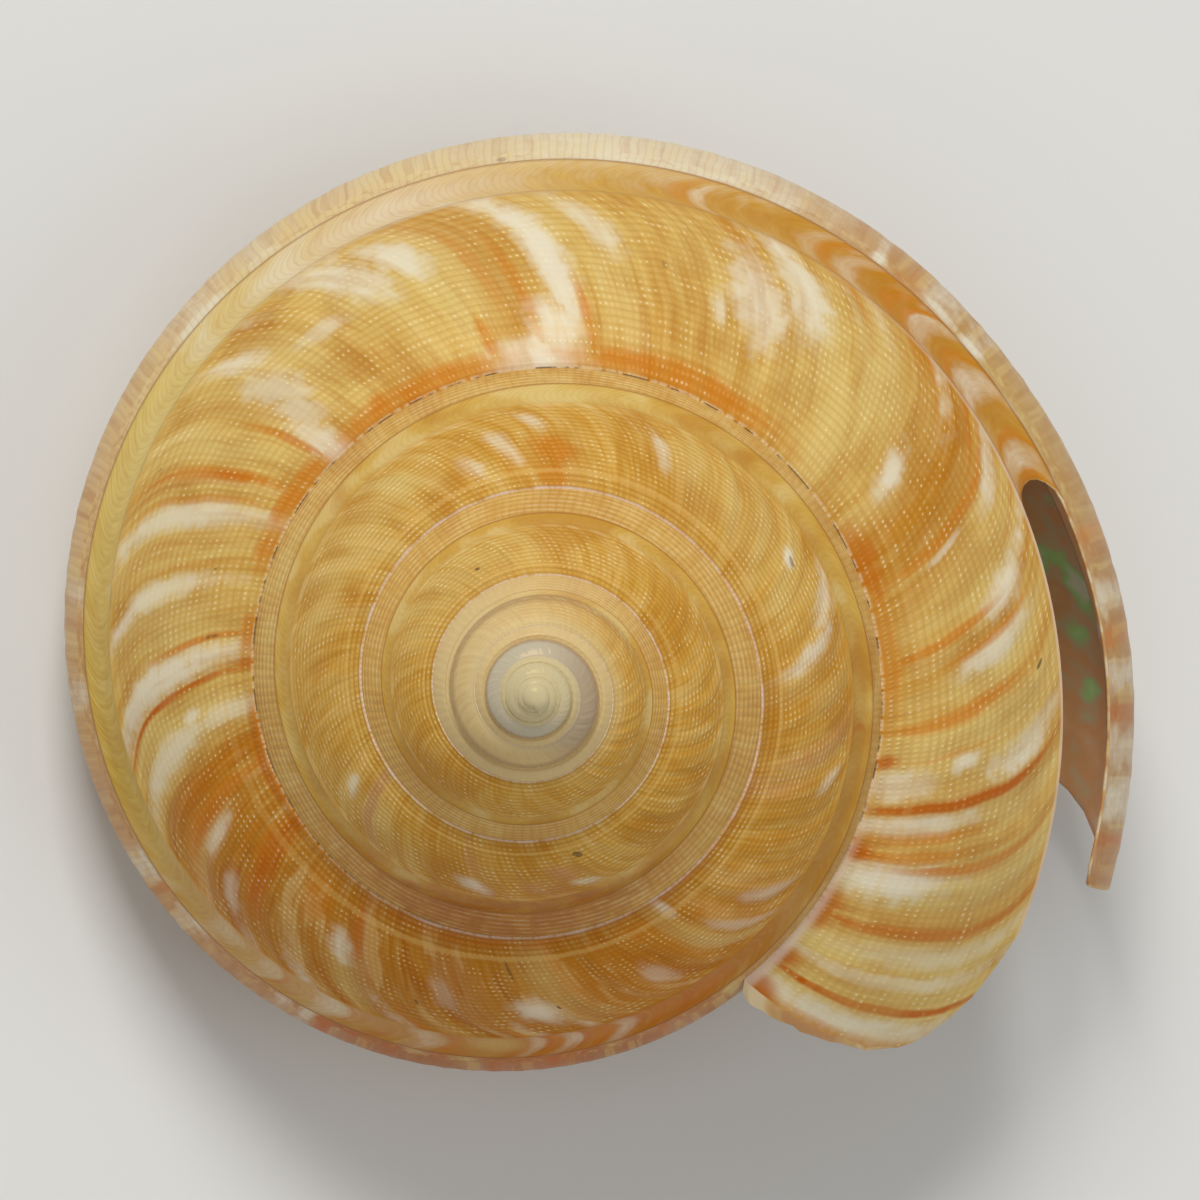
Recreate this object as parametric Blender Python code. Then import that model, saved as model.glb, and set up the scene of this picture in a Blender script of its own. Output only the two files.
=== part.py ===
"""Slit shell: one coiled shell with an open mouth, an open slit in its outer lip and a solid columella.

Run it with blender --background --python part.py, or from Blender's text editor. Lengths are in metres and
+Z is up. The shell is modelled in a frame of its own first: the apex is the origin, the coiling axis is Z and
the spire points up. A place on it is a turn, counted in whorls along the spiral, and a station on the whorl's
profile. Turn 0 lies on the -Y side of the axis at the start of the body whorl, and turns grow clockwise as
seen from above. The finished shell is then laid on its base, as it rests on a table.
"""

import math

import bmesh
import bpy
from mathutils import Matrix, Vector

MM = 0.001

# The spiral. The slit band is the smooth belt that the slit leaves behind as the shell grows.
BAND_RADIUS = 28.3 * MM  # from the axis to the band's lower edge, at turn 0
GROWTH = 0.539  # natural logarithm of the growth in one whorl
BULGE = 0.033  # the body whorl is drawn out a little to one side
BULGE_TURN = 0.348
BULGE_START = -0.5  # the turns between which that bulge sets in
BULGE_END = 0.3
FLARE_START = 0.70  # the last part of the body whorl flares towards the lip
FLARE = 1.05
LOWER_FLARE = 0.027  # below the slit the wall flares more
LOWER_FLARE_START = 0.64
LOWER_FLARE_END = 0.76
LIP_TURN = 0.904  # where the outer lip meets the suture
WHORLS = 5.5

# The whorl's profile, as (radius, height) shares of the band radius. Height is counted from the apex.
BAND_TOP = (0.939, -0.905)
BAND_FOOT = (1.0, -1.0)
PERIPHERY_DROP = 0.17
YOUNG_PERIPHERY = 1.135
GROWN_PERIPHERY = 1.051
YOUNG_ROUNDNESS = 1.15  # how the strip below the band curves: 1 is straight
GROWN_ROUNDNESS = 2.0
BASE_LOWEST = (0.66, -1.44)
COLUMELLA_FOOT = (0.05, -1.21)
PILLAR = 0.075  # how thick the columella is, on the side of the mouth
SHOULDER_SLOPE = 20.0  # degrees below level where a whorl leaves the suture
FLANK_SLOPE = 52.0  # degrees below level where it reaches the band
FLANK_HANDLE = 0.37  # the flank curve's handles, as a share of its chord

# Handles of the curves under the base, as shares of the band radius.
EDGE_HANDLE = (0.0, -0.15)
LOWEST_OUTER_HANDLE = (0.22, 0.0)
LOWEST_INNER_HANDLE = (-0.24, 0.0)
FOOT_HANDLE = (0.12, -0.05)

# The suture runs on the periphery of the young whorls, and climbs towards the band on the last one.
CLIMB_START = -1.1
CLIMB_END = 0.0
SUTURE_SHARE_GROWN = 0.22
NARROWING_START = -1.3  # the periphery draws in a little before that
NARROWING_END = -0.1

# Growth lines trail behind the suture, so the lip does too, in degrees.
FLANK_LAG = 22.5
FLANK_TREND = 12.5
FLANK_TREND_POWER = 1.1
SWEEP_START = 0.6  # the station where the sweep back along the band begins
SLIT_TOP_LAG = 27.0
SLIT_FOOT_LAG = 34.0
STRIP_LEAD = 2.0  # how much further on the lip is halfway down the strip
BASE_LAG = 10.0  # how much further back the lip is halfway along the base
SLIT_ANGLE = 52.5  # how far behind the lip the slit ends, along one growth line

# Wall, callus and columella.
WALL = 1.35 * MM
LIP_WALL = 0.75 * MM
CALLUS = 0.4 * MM
CAVITY_WHORLS = 1.3
PILLAR_TIP = 0.15  # how far up its visible length the columella's hollow end closes
INNER_CORNER = 0.15  # the station where the hollow begins, below the corner at the suture
APEX_RISE = 0.4  # the apex lies at this share of the first whorl's depth

# How finely the shell is faceted.
ROWS_PER_WHORL = 48
FLANK_STEPS = 5
BASE_STEPS = 9
COLUMELLA_STEPS = 3
SHARP_ANGLE = 50.0  # degrees between two facets that keeps their edge sharp

# How many points measure the length of each piece of the base's outline.
STRIP_POINTS = 6
OUTER_POINTS = 14
INNER_POINTS = 10

# The rest pose: the shell lies on its base and outer lip, with the apex leaning away from the mouth.
# Where it touches the table it is worn flat, so the flats are all at height 0.
LEAN = 19.1
LEAN_TOWARDS = -144.1  # degrees from +X towards +Y
APEX_AT = Vector((-16.36, -12.50, 51.42)) * MM

OCHRE = (0.72, 0.42, 0.12, 1.0)
SATIN = 0.38


def smoothstep(low, high, value):
    """0 below low, 1 above high and a smooth rise between them."""
    share = min(1.0, max(0.0, (value - low) / (high - low)))
    return share * share * (3.0 - 2.0 * share)


def mix(a, b, share):
    """The value at a share of the way from a to b."""
    return a + (b - a) * share


def band_radius(turn):
    """The distance from the axis to the band's lower edge."""
    bulge = BULGE * smoothstep(BULGE_START, BULGE_END, turn) * math.cos(math.tau * (turn - BULGE_TURN))
    flare = FLARE * max(0.0, turn - FLARE_START) ** 2
    return BAND_RADIUS * math.exp(GROWTH * turn + bulge + flare)


def lower_flare(turn):
    """How much wider the wall is below the slit than the spiral alone would make it."""
    return 1.0 + LOWER_FLARE * smoothstep(LOWER_FLARE_START, LOWER_FLARE_END, turn)


def climb(turn):
    """How far the suture that is made on this whorl has climbed, from 0 on young whorls to 1."""
    return smoothstep(CLIMB_START, CLIMB_END, turn)


def periphery(turn):
    """The widest radius of a whorl, as a share of its band radius."""
    return mix(YOUNG_PERIPHERY, GROWN_PERIPHERY, smoothstep(NARROWING_START, NARROWING_END, turn))


def strip_point(turn, share):
    """A point on the steep strip below the band: share 0 is the band's foot and 1 the periphery."""
    reach = periphery(turn) - 1.0
    roundness = mix(YOUNG_ROUNDNESS, GROWN_ROUNDNESS, climb(turn))
    radius = lower_flare(turn) * (1.0 + reach * (1.0 - (1.0 - share) ** roundness))
    return Vector((radius, BAND_FOOT[1] - PERIPHERY_DROP * share)) * band_radius(turn)


def suture_share(turn):
    """Where on the strip of this whorl the next whorl is attached."""
    return mix(1.0, SUTURE_SHARE_GROWN, climb(turn))


def bezier(a, b, c, d, share):
    """A point on the cubic curve from a to d with handles b and c."""
    rest = 1.0 - share
    return a * rest**3 + b * (3 * rest * rest * share) + c * (3 * rest * share * share) + d * share**3


def downhill(slope):
    """The direction outwards and down at a slope in degrees."""
    return Vector((math.cos(math.radians(slope)), -math.sin(math.radians(slope))))


def flank_point(turn, share):
    """A point on the visible upper face of a whorl, from the suture (0) to the band's top (1)."""
    start = strip_point(turn - 1.0, suture_share(turn - 1.0))
    end = Vector(BAND_TOP) * band_radius(turn)
    reach = (end - start).length * FLANK_HANDLE
    leaving = start + downhill(SHOULDER_SLOPE) * reach
    arriving = end - downhill(FLANK_SLOPE) * reach
    return bezier(start, leaving, arriving, end, share)


def base_outline(turn, from_share):
    """Points from a place on the strip, round the periphery and under the base, to the columella."""
    size = band_radius(turn)
    edge = strip_point(turn, 1.0)
    lowest = Vector((BASE_LOWEST[0] * lower_flare(turn), BASE_LOWEST[1])) * size
    foot = Vector(COLUMELLA_FOOT) * size
    falling = edge + Vector(EDGE_HANDLE) * size
    turning = lowest + Vector(LOWEST_OUTER_HANDLE) * size
    rising = lowest + Vector(LOWEST_INNER_HANDLE) * size
    landing = foot + Vector(FOOT_HANDLE) * size
    strip = [strip_point(turn, mix(from_share, 1.0, k / STRIP_POINTS)) for k in range(STRIP_POINTS)]
    outer = [bezier(edge, falling, turning, lowest, k / OUTER_POINTS) for k in range(OUTER_POINTS)]
    inner = [bezier(lowest, rising, landing, foot, k / INNER_POINTS) for k in range(INNER_POINTS + 1)]
    return strip + outer + inner


def along(points, share):
    """The point at a share of a polyline's length."""
    steps = [(b - a).length for a, b in zip(points, points[1:])]
    left = share * sum(steps)
    for a, b, step in zip(points, points[1:], steps):
        if left <= step:
            return a.lerp(b, left / step)
        left -= step
    return points[-1]


def profile(turn, station):
    """The (radius, height) of a place on the outside of a whorl.

    Station 0 is the suture, 1 the band's top, 2 its foot, 3 the next whorl's suture and 4 the columella.
    """
    if station <= 1.0:
        return flank_point(turn, station)
    if station <= 2.0:
        return (Vector(BAND_TOP) * band_radius(turn)).lerp(strip_point(turn, 0.0), station - 1.0)
    if station <= 3.0:
        return strip_point(turn, suture_share(turn) * (station - 2.0))
    return along(base_outline(turn, suture_share(turn)), station - 3.0)


def outward(turn, station):
    """The profile's unit normal, pointing out of the shell."""
    step = 0.01
    low, high = max(0.0, station - step), min(4.0, station + step)
    run = (profile(turn, high) - profile(turn, low)).normalized()
    return Vector((-run.y, run.x))


def at_angle(point, turn):
    """A (radius, height) point set at its turn round the axis."""
    angle = math.tau * turn
    return Vector((-point.x * math.sin(angle), -point.x * math.cos(angle), point.y))


def trailing(station, at_band):
    """The lag of a growth line on the flank: slow at first, then a rounded sweep back along the band."""
    station = min(1.0, station)
    sweep = max(0.0, (station - SWEEP_START) / (1.0 - SWEEP_START)) ** 3
    return FLANK_TREND * station**FLANK_TREND_POWER + (at_band - FLANK_TREND) * sweep


def lip_lag(station):
    """How far the finished lip trails behind the suture, in degrees."""
    if station <= 1.0:
        return trailing(station, SLIT_TOP_LAG)
    if station <= 2.0:
        return mix(SLIT_TOP_LAG, SLIT_FOOT_LAG, station - 1.0)
    if station <= 3.0:
        return SLIT_FOOT_LAG - STRIP_LEAD * math.sin(math.pi * (station - 2.0))
    under = station - 3.0
    return SLIT_FOOT_LAG + BASE_LAG * math.sin(math.pi * under)


class Shell:
    """The shell as one closed mesh: outside, lip, slit and the hollow whorls behind the mouth."""

    def __init__(self):
        self.mesh = bmesh.new()
        self.stations = [k / FLANK_STEPS for k in range(FLANK_STEPS + 1)]
        self.band_top = FLANK_STEPS
        self.stations += [2.0, 3.0]
        self.next_suture = len(self.stations) - 1
        self.stations += [3.0 + k / BASE_STEPS for k in range(1, BASE_STEPS + 1)]
        self.rows = round(WHORLS * ROWS_PER_WHORL)
        self.lag_rows = round(ROWS_PER_WHORL * FLANK_LAG / 360.0)
        self.slit_rows = round(ROWS_PER_WHORL * SLIT_ANGLE / 360.0)
        self.mouth_row = self.rows - ROWS_PER_WHORL + self.lag_rows
        self.cavity_row = self.rows - round(CAVITY_WHORLS * ROWS_PER_WHORL)

    def row_turn(self, row):
        """The turn at which a row of vertices leaves the suture."""
        return LIP_TURN - (self.rows - row) / ROWS_PER_WHORL

    def near_lip(self, row):
        """0 behind the slit's end, and rising to 1 at the lip."""
        return max(0.0, 1.0 - (self.rows - row) / self.slit_rows)

    def turn_at(self, row, station):
        """The turn of one vertex: rows follow the growth lines, and the last one follows the lip."""
        lag = mix(trailing(station, FLANK_LAG), lip_lag(station), self.near_lip(row))
        return self.row_turn(row) - lag / 360.0

    def vertex(self, point, turn):
        """A new vertex at a (radius, height) point and its turn."""
        return self.mesh.verts.new(at_angle(point, turn))

    def face(self, *corners):
        """A face, with corners that fell together left out."""
        loop = [v for k, v in enumerate(corners) if v is not corners[k - 1]]
        if len(set(loop)) > 2:
            self.mesh.faces.new(loop)

    def quads(self, first, second, skip=()):
        """Faces between two rows of vertices with as many vertices each."""
        for k in range(len(first) - 1):
            if k not in skip:
                self.face(first[k], first[k + 1], second[k + 1], second[k])

    def outside(self):
        """The rows of outside vertices. A whorl starts on the vertices where the one before ends."""
        self.outer = []
        for row in range(self.rows + 1):
            last = len(self.stations) - 1 if row >= self.mouth_row else self.next_suture
            line = []
            for k in range(last + 1):
                before = row - ROWS_PER_WHORL + self.lag_rows
                if k == 0 and before >= 0:
                    line.append(self.outer[before][self.next_suture])
                    continue
                station = self.stations[k]
                turn = self.turn_at(row, station)
                line.append(self.vertex(profile(turn, station), turn))
            self.outer.append(line)
        for row in range(self.rows):
            cut = (self.band_top,) if row >= self.rows - self.slit_rows else ()
            self.quads(self.outer[row], self.outer[row + 1][: len(self.outer[row])], cut)

    def apex(self):
        """A low dome over the first whorl."""
        first = ROWS_PER_WHORL - self.lag_rows
        loop = [self.outer[row][0] for row in range(first)]
        loop += list(reversed(self.outer[0][1:]))
        centre = sum((v.co for v in loop), Vector()) / len(loop)
        tip = self.mesh.verts.new(Vector((0, 0, APEX_RISE * centre.z)))
        for a, b in zip(loop, loop[1:] + loop[:1]):
            self.face(a, b, tip)

    def inside_loop(self, row):
        """A closed ring of vertices round the hollow: its wall, the columella and the whorl before."""
        wall = mix(WALL, LIP_WALL, self.near_lip(row))
        ring = []
        for station in self.stations[:-1]:
            if station < 1.0:
                station = mix(INNER_CORNER, 1.0, station)
            turn = self.turn_at(row, station)
            point = profile(turn, station) - outward(turn, station) * wall
            ring.append((point, turn))
        turn = self.turn_at(row, 4.0)
        foot = profile(turn, 4.0) + Vector((PILLAR * band_radius(turn), wall))
        ring.append((foot, turn))
        before = self.row_turn(row) - 1.0
        back = []
        for station in self.stations[: self.next_suture : -1]:
            back.append((profile(before, station) + outward(before, station) * CALLUS, before + 1.0))
        head = profile(before, 4.0) + Vector((PILLAR * band_radius(before), -CALLUS))
        back[0] = (head, before + 1.0)
        for k in range(1, COLUMELLA_STEPS + 1):
            share = k / (COLUMELLA_STEPS + 1)
            ring.append((foot.lerp(head, share), mix(turn, before + 1.0, share)))
        return [self.vertex(point, turn) for point, turn in ring + back]

    def inside(self):
        """The hollow whorls, closed at the back as by a septum, and the slit through both walls."""
        self.inner = {row: self.inside_loop(row) for row in range(self.cavity_row, self.rows + 1)}
        for row in range(self.cavity_row, self.rows):
            first, second = self.inner[row], self.inner[row + 1]
            cut = (self.band_top,) if row >= self.rows - self.slit_rows else ()
            self.quads(second + second[:1], first + first[:1], cut)
        septum = self.inner[self.cavity_row]
        centre = self.mesh.verts.new(sum((v.co for v in septum), Vector()) / len(septum))
        for a, b in zip(septum, septum[1:] + septum[:1]):
            self.face(a, b, centre)

    def slit(self):
        """The walls of the slit, from the outside to the inside of the shell."""
        first = self.rows - self.slit_rows
        for k in (self.band_top, self.band_top + 1):
            outer = [self.outer[row][k] for row in range(first, self.rows + 1)]
            inner = [self.inner[row][k] for row in range(first, self.rows + 1)]
            self.quads(outer, inner)
        ends = slice(self.band_top, self.band_top + 2)
        self.quads(self.outer[first][ends], self.inner[first][ends])

    def lip(self):
        """The rim of the mouth, and the columella's free tip in front of it."""
        foot, head = self.outer[-1][-1], self.outer[self.mouth_row][-1]
        turns = (self.turn_at(self.rows, 4.0), self.row_turn(self.rows))
        columella = []
        for k in range(1, COLUMELLA_STEPS + 1):
            share = k / (COLUMELLA_STEPS + 1)
            start = profile(turns[0], 4.0)
            end = profile(turns[1] - 1.0, 4.0)
            columella.append(self.vertex(start.lerp(end, share), mix(turns[0], turns[1], share)))
        wall_before = self.outer[self.mouth_row][: self.next_suture : -1]
        rim = self.outer[-1] + columella + wall_before
        ring = self.inner[self.rows]
        self.quads(rim + rim[:1], ring + ring[:1], (self.band_top,))
        edge = [self.outer[row][-1] for row in range(self.mouth_row, self.rows)] + [foot] + columella
        tip = self.mesh.verts.new(Vector((0, 0, mix(foot.co.z, head.co.z, PILLAR_TIP))))
        for a, b in zip(edge, edge[1:] + edge[:1]):
            self.face(a, b, tip)

    def build(self):
        """Builds every surface, and returns them as one closed mesh of triangles."""
        self.outside()
        self.apex()
        self.inside()
        self.slit()
        self.lip()
        self.mesh.faces.ensure_lookup_table()
        bmesh.ops.triangulate(self.mesh, faces=self.mesh.faces[:])
        bmesh.ops.recalc_face_normals(self.mesh, faces=self.mesh.faces[:])
        return self.mesh


def rest_pose():
    """Leans the axis and lifts the apex to its height above the table."""
    lean_axis = Matrix.Rotation(math.radians(LEAN_TOWARDS), 4, "Z") @ Vector((0, 1, 0))
    return Matrix.Translation(APEX_AT) @ Matrix.Rotation(math.radians(LEAN), 4, lean_axis)


def wear_flat(mesh):
    """Cuts away what is below the table and closes the cuts with flat faces."""
    everything = mesh.verts[:] + mesh.edges[:] + mesh.faces[:]
    bmesh.ops.bisect_plane(mesh, geom=everything, plane_co=(0, 0, 0), plane_no=(0, 0, 1), clear_inner=True)
    rims = [edge for edge in mesh.edges if edge.is_boundary]
    flats = bmesh.ops.holes_fill(mesh, edges=rims)["faces"]
    bmesh.ops.triangulate(mesh, faces=flats)


def shell_material():
    """A satin ochre, as a stand-in for the shell's colours."""
    material = bpy.data.materials.new("ochre_shell")
    material.use_nodes = True
    surface = material.node_tree.nodes["Principled BSDF"]
    surface.inputs["Base Color"].default_value = OCHRE
    surface.inputs["Roughness"].default_value = SATIN
    surface.inputs["Metallic"].default_value = 0.0
    return material


def main():
    """Clears the scene, and builds the shell at rest on the table."""
    for old in list(bpy.data.objects):
        bpy.data.objects.remove(old, do_unlink=True)
    solid = Shell().build()
    bmesh.ops.transform(solid, matrix=rest_pose(), verts=solid.verts[:])
    wear_flat(solid)
    data = bpy.data.meshes.new("shell")
    solid.to_mesh(data)
    solid.free()
    data.shade_smooth()
    data.set_sharp_from_angle(angle=math.radians(SHARP_ANGLE))
    shell = bpy.data.objects.new("shell", data)
    shell.data.materials.append(shell_material())
    bpy.context.scene.collection.objects.link(shell)


main()
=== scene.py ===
"""Slit shell: the looks of one coiled shell, laid on its base as it rests on a table.

The shell is shaped in a frame of its own: the apex is the origin, the coiling axis is Z and the spire points
up. A place on it is a turn, counted in whorls along the spiral, and a station on the whorl's profile. The
flank lies between stations 0 and 1, the slit band from 1 to 2, the steep strip below it from 2 to 3, and the
base from 3 to 4. Rows of the surface follow the growth lines, as the shell itself grew. A point of a profile
is a complex number, with the radius as its real part and the height as its imaginary part. Lengths are in
metres.
"""

import logging
import math
from dataclasses import dataclass, field
from enum import Enum

import bpy
import numpy as np
from mathutils import Matrix, Vector


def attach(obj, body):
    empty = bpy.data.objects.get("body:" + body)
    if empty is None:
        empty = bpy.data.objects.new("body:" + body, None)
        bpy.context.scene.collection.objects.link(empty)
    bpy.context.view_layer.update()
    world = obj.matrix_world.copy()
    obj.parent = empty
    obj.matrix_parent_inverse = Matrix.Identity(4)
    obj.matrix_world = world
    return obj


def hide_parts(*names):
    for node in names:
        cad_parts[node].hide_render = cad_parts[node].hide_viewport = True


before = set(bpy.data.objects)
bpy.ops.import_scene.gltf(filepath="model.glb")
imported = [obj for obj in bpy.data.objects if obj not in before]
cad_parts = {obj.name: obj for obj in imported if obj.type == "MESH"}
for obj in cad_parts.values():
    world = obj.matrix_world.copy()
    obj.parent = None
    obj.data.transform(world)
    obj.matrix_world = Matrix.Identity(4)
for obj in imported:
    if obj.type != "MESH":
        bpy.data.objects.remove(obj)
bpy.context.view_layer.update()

MM = 0.001
WHOLE = 360.0  # degrees in a whole turn
SUTURE, BAND_TOP, BAND_FOOT, NEXT_SUTURE, COLUMELLA = 0.0, 1.0, 2.0, 3.0, 4.0  # stations
SMOOTH = {"interpolation_type": "SMOOTHSTEP"}  # for a Map Range node with eased ends
logger = logging.getLogger("slit_shell")


def smoothstep(low: float, high: float, value: np.ndarray) -> np.ndarray:
    """0 at low, 1 at high and a smooth rise or fall between them.

    Args:
        low: The value that gives 0.
        high: The value that gives 1.
        value: One value or an array of them.

    Returns:
        The share for each value.
    """
    share = np.clip((value - low) / (high - low), 0.0, 1.0)
    return share * share * (3.0 - 2.0 * share)


def plateau(zone: tuple[float, float, float, float], value: np.ndarray) -> np.ndarray:
    """1 in the middle of a zone and 0 outside it, with a smooth rise and fall.

    Args:
        zone: Where the rise starts and ends, and where the fall starts and ends.
        value: One value or an array of them.

    Returns:
        The share for each value.
    """
    rising, full, falling, end = zone
    return smoothstep(rising, full, value) * smoothstep(end, falling, value)


def mix(start: np.ndarray, end: np.ndarray, share: np.ndarray) -> np.ndarray:
    """The value at a share of the way from start to end."""
    return start + (end - start) * share


def bezier(a: np.ndarray, b: np.ndarray, c: np.ndarray, d: np.ndarray, share: np.ndarray) -> np.ndarray:
    """A point on the cubic curve from a to d with handles b and c."""
    rest = 1.0 - share
    return a * rest**3 + b * (3 * rest**2 * share) + c * (3 * rest * share**2) + d * share**3


def along(lines: np.ndarray, share: np.ndarray) -> np.ndarray:
    """The point at a share of each polyline's length.

    Args:
        lines: One polyline of complex points in each row.
        share: One share for each polyline.

    Returns:
        One complex point for each polyline.
    """
    steps = np.abs(np.diff(lines, axis=1))
    walked = np.concatenate([np.zeros((len(lines), 1)), np.cumsum(steps, axis=1)], axis=1)
    wanted = share * walked[:, -1]
    last = lines.shape[1] - 2
    step = np.clip((walked <= wanted[:, None]).sum(axis=1) - 1, 0, last)
    each = np.arange(len(lines))
    rest = (wanted - walked[each, step]) / np.maximum(steps[each, step], 1e-12)
    return mix(lines[each, step], lines[each, step + 1], np.clip(rest, 0.0, 1.0))


def at_angle(point: np.ndarray, turn: np.ndarray) -> np.ndarray:
    """Profile points set at their turns round the axis, as an array with x, y and z last."""
    angle = math.tau * turn
    return np.stack([-point.real * np.sin(angle), -point.real * np.cos(angle), point.imag], axis=-1)


@dataclass(frozen=True)
class Spiral:
    """The shell's form: how the slit band coils, and the profile that is carried along it.

    The profile is given for a band whose foot is 1 from the axis, and is scaled to its distance at each turn.
    Peripheries and strip_roundness have a value for the young whorls and one for the grown ones, and a pair
    of turns says where a change starts and where it ends.
    """

    band_radius: float = 28.3 * MM
    growth: float = 0.539
    bulge: float = 0.033
    bulge_turn: float = 0.348
    bulge_turns: tuple[float, float] = (-0.5, 0.3)
    flare_turn: float = 0.70
    flare: float = 1.05
    lower_flare: float = 0.027
    lower_flare_turns: tuple[float, float] = (0.64, 0.76)
    band_top: complex = 0.939 - 0.905j
    band_foot: float = -1.0
    strip_drop: float = 0.17
    peripheries: tuple[float, float] = (1.135, 1.051)
    strip_roundness: tuple[float, float] = (1.15, 2.0)
    climb_turns: tuple[float, float] = (-1.1, 0.0)
    reach_leads: tuple[float, float] = (0.2, 0.1)
    grown_suture: float = 0.22
    shoulder: complex = complex(np.exp(-1j * math.radians(20.0)))
    flank: complex = complex(np.exp(-1j * math.radians(52.0)))
    flank_reach: float = 0.37
    lowest: complex = 0.66 - 1.44j
    foot: complex = 0.05 - 1.21j
    edge_handle: complex = -0.15j
    lowest_handles: tuple[float, float] = (0.22, 0.24)
    foot_handle: complex = 0.12 - 0.05j
    strip_points: int = 6
    side_points: int = 14
    floor_points: int = 10
    normal_step: float = 0.01

    def size(self, turn: np.ndarray) -> np.ndarray:
        """The distance from the axis to the band's foot.

        Args:
            turn: The turn of each place.

        Returns:
            The distance at each.
        """
        bulge = self.bulge * smoothstep(*self.bulge_turns, turn) * np.cos(math.tau * (turn - self.bulge_turn))
        flare = self.flare * np.maximum(0.0, turn - self.flare_turn) ** 2
        return self.band_radius * np.exp(self.growth * turn + bulge + flare)

    def below_slit(self, turn: np.ndarray) -> np.ndarray:
        """How much wider the wall is below the slit than the spiral alone would make it."""
        return 1.0 + self.lower_flare * smoothstep(*self.lower_flare_turns, turn)

    def climb(self, turn: np.ndarray) -> np.ndarray:
        """How far the suture made on this whorl has climbed, from 0 on young whorls to 1."""
        return smoothstep(*self.climb_turns, turn)

    def strip(self, turn: np.ndarray, share: np.ndarray) -> np.ndarray:
        """A point on the steep strip below the band.

        Args:
            turn: The turn of each point.
            share: How far down each is, from the band's foot (0) to the periphery (1).

        Returns:
            The profile point of each.
        """
        start, end = (turned - lead for turned, lead in zip(self.climb_turns, self.reach_leads))
        reach = mix(*self.peripheries, smoothstep(start, end, turn)) - 1.0
        roundness = mix(*self.strip_roundness, self.climb(turn))
        radius = self.below_slit(turn) * (1.0 + reach * (1.0 - (1.0 - share) ** roundness))
        return (radius + 1j * (self.band_foot - self.strip_drop * share)) * self.size(turn)

    def attached(self, turn: np.ndarray) -> np.ndarray:
        """Where on the strip of this whorl the next whorl is attached."""
        return mix(1.0, self.grown_suture, self.climb(turn))

    def upper(self, turn: np.ndarray, share: np.ndarray) -> np.ndarray:
        """A point on the visible upper face of a whorl.

        Args:
            turn: The turn of each point.
            share: How far out each is, from the suture (0) to the band's top (1).

        Returns:
            The profile point of each.
        """
        start = self.strip(turn - 1.0, self.attached(turn - 1.0))
        end = self.band_top * self.size(turn)
        reach = np.abs(end - start) * self.flank_reach
        return bezier(start, start + self.shoulder * reach, end - self.flank * reach, end, share)

    def band(self, turn: np.ndarray, share: np.ndarray) -> np.ndarray:
        """A point of the slit band, from its top (0) to its foot (1)."""
        return mix(self.band_top * self.size(turn), self.strip(turn, 0.0), share)

    def under(self, turn: np.ndarray, share: np.ndarray) -> np.ndarray:
        """A point of the underside, which runs round the periphery and under the base.

        Args:
            turn: The turn of each point, in one row.
            share: How far along each is, from the next suture (0) to the columella (1).

        Returns:
            The profile point of each.
        """
        each = turn[:, None]
        size = self.size(each)
        edge = self.strip(each, 1.0)
        lowest = (self.lowest.real * self.below_slit(each) + 1j * self.lowest.imag) * size
        foot = self.foot * size
        rising, falling = self.lowest_handles
        down = np.arange(self.strip_points) / self.strip_points
        inward = np.arange(self.side_points) / self.side_points
        across = np.arange(self.floor_points + 1) / self.floor_points
        lines = [
            self.strip(each, mix(self.attached(each), 1.0, down)),
            bezier(edge, edge + self.edge_handle * size, lowest + rising * size, lowest, inward),
            bezier(lowest, lowest - falling * size, foot + self.foot_handle * size, foot, across),
        ]
        return along(np.concatenate(lines, axis=1), share)

    def profile(self, turn: np.ndarray, station: np.ndarray) -> np.ndarray:
        """The outside of a whorl.

        Args:
            turn: The turn of each point.
            station: The station of each point.

        Returns:
            The complex profile point of each, in an array of the arguments' shape.
        """
        turn, station = np.broadcast_arrays(np.asarray(turn, float), np.asarray(station, float))
        found = np.empty(turn.shape, complex)
        for low, make in (
            (SUTURE, self.upper),
            (BAND_TOP, self.band),
            (BAND_FOOT, lambda each, share: self.strip(each, self.attached(each) * share)),
            (NEXT_SUTURE, self.under),
        ):
            here = (station > low) & (station <= low + 1.0) if low else station <= BAND_TOP
            found[here] = make(turn[here], station[here] - low)
        return found

    def outward(self, turn: np.ndarray, station: np.ndarray) -> np.ndarray:
        """The profile's unit normal, pointing out of the shell.

        Args:
            turn: The turn of each point.
            station: The station of each point.

        Returns:
            The normal at each as a complex number.
        """
        low = self.profile(turn, np.maximum(SUTURE, station - self.normal_step))
        run = self.profile(turn, np.minimum(COLUMELLA, station + self.normal_step)) - low
        return 1j * run / np.abs(run)


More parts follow.
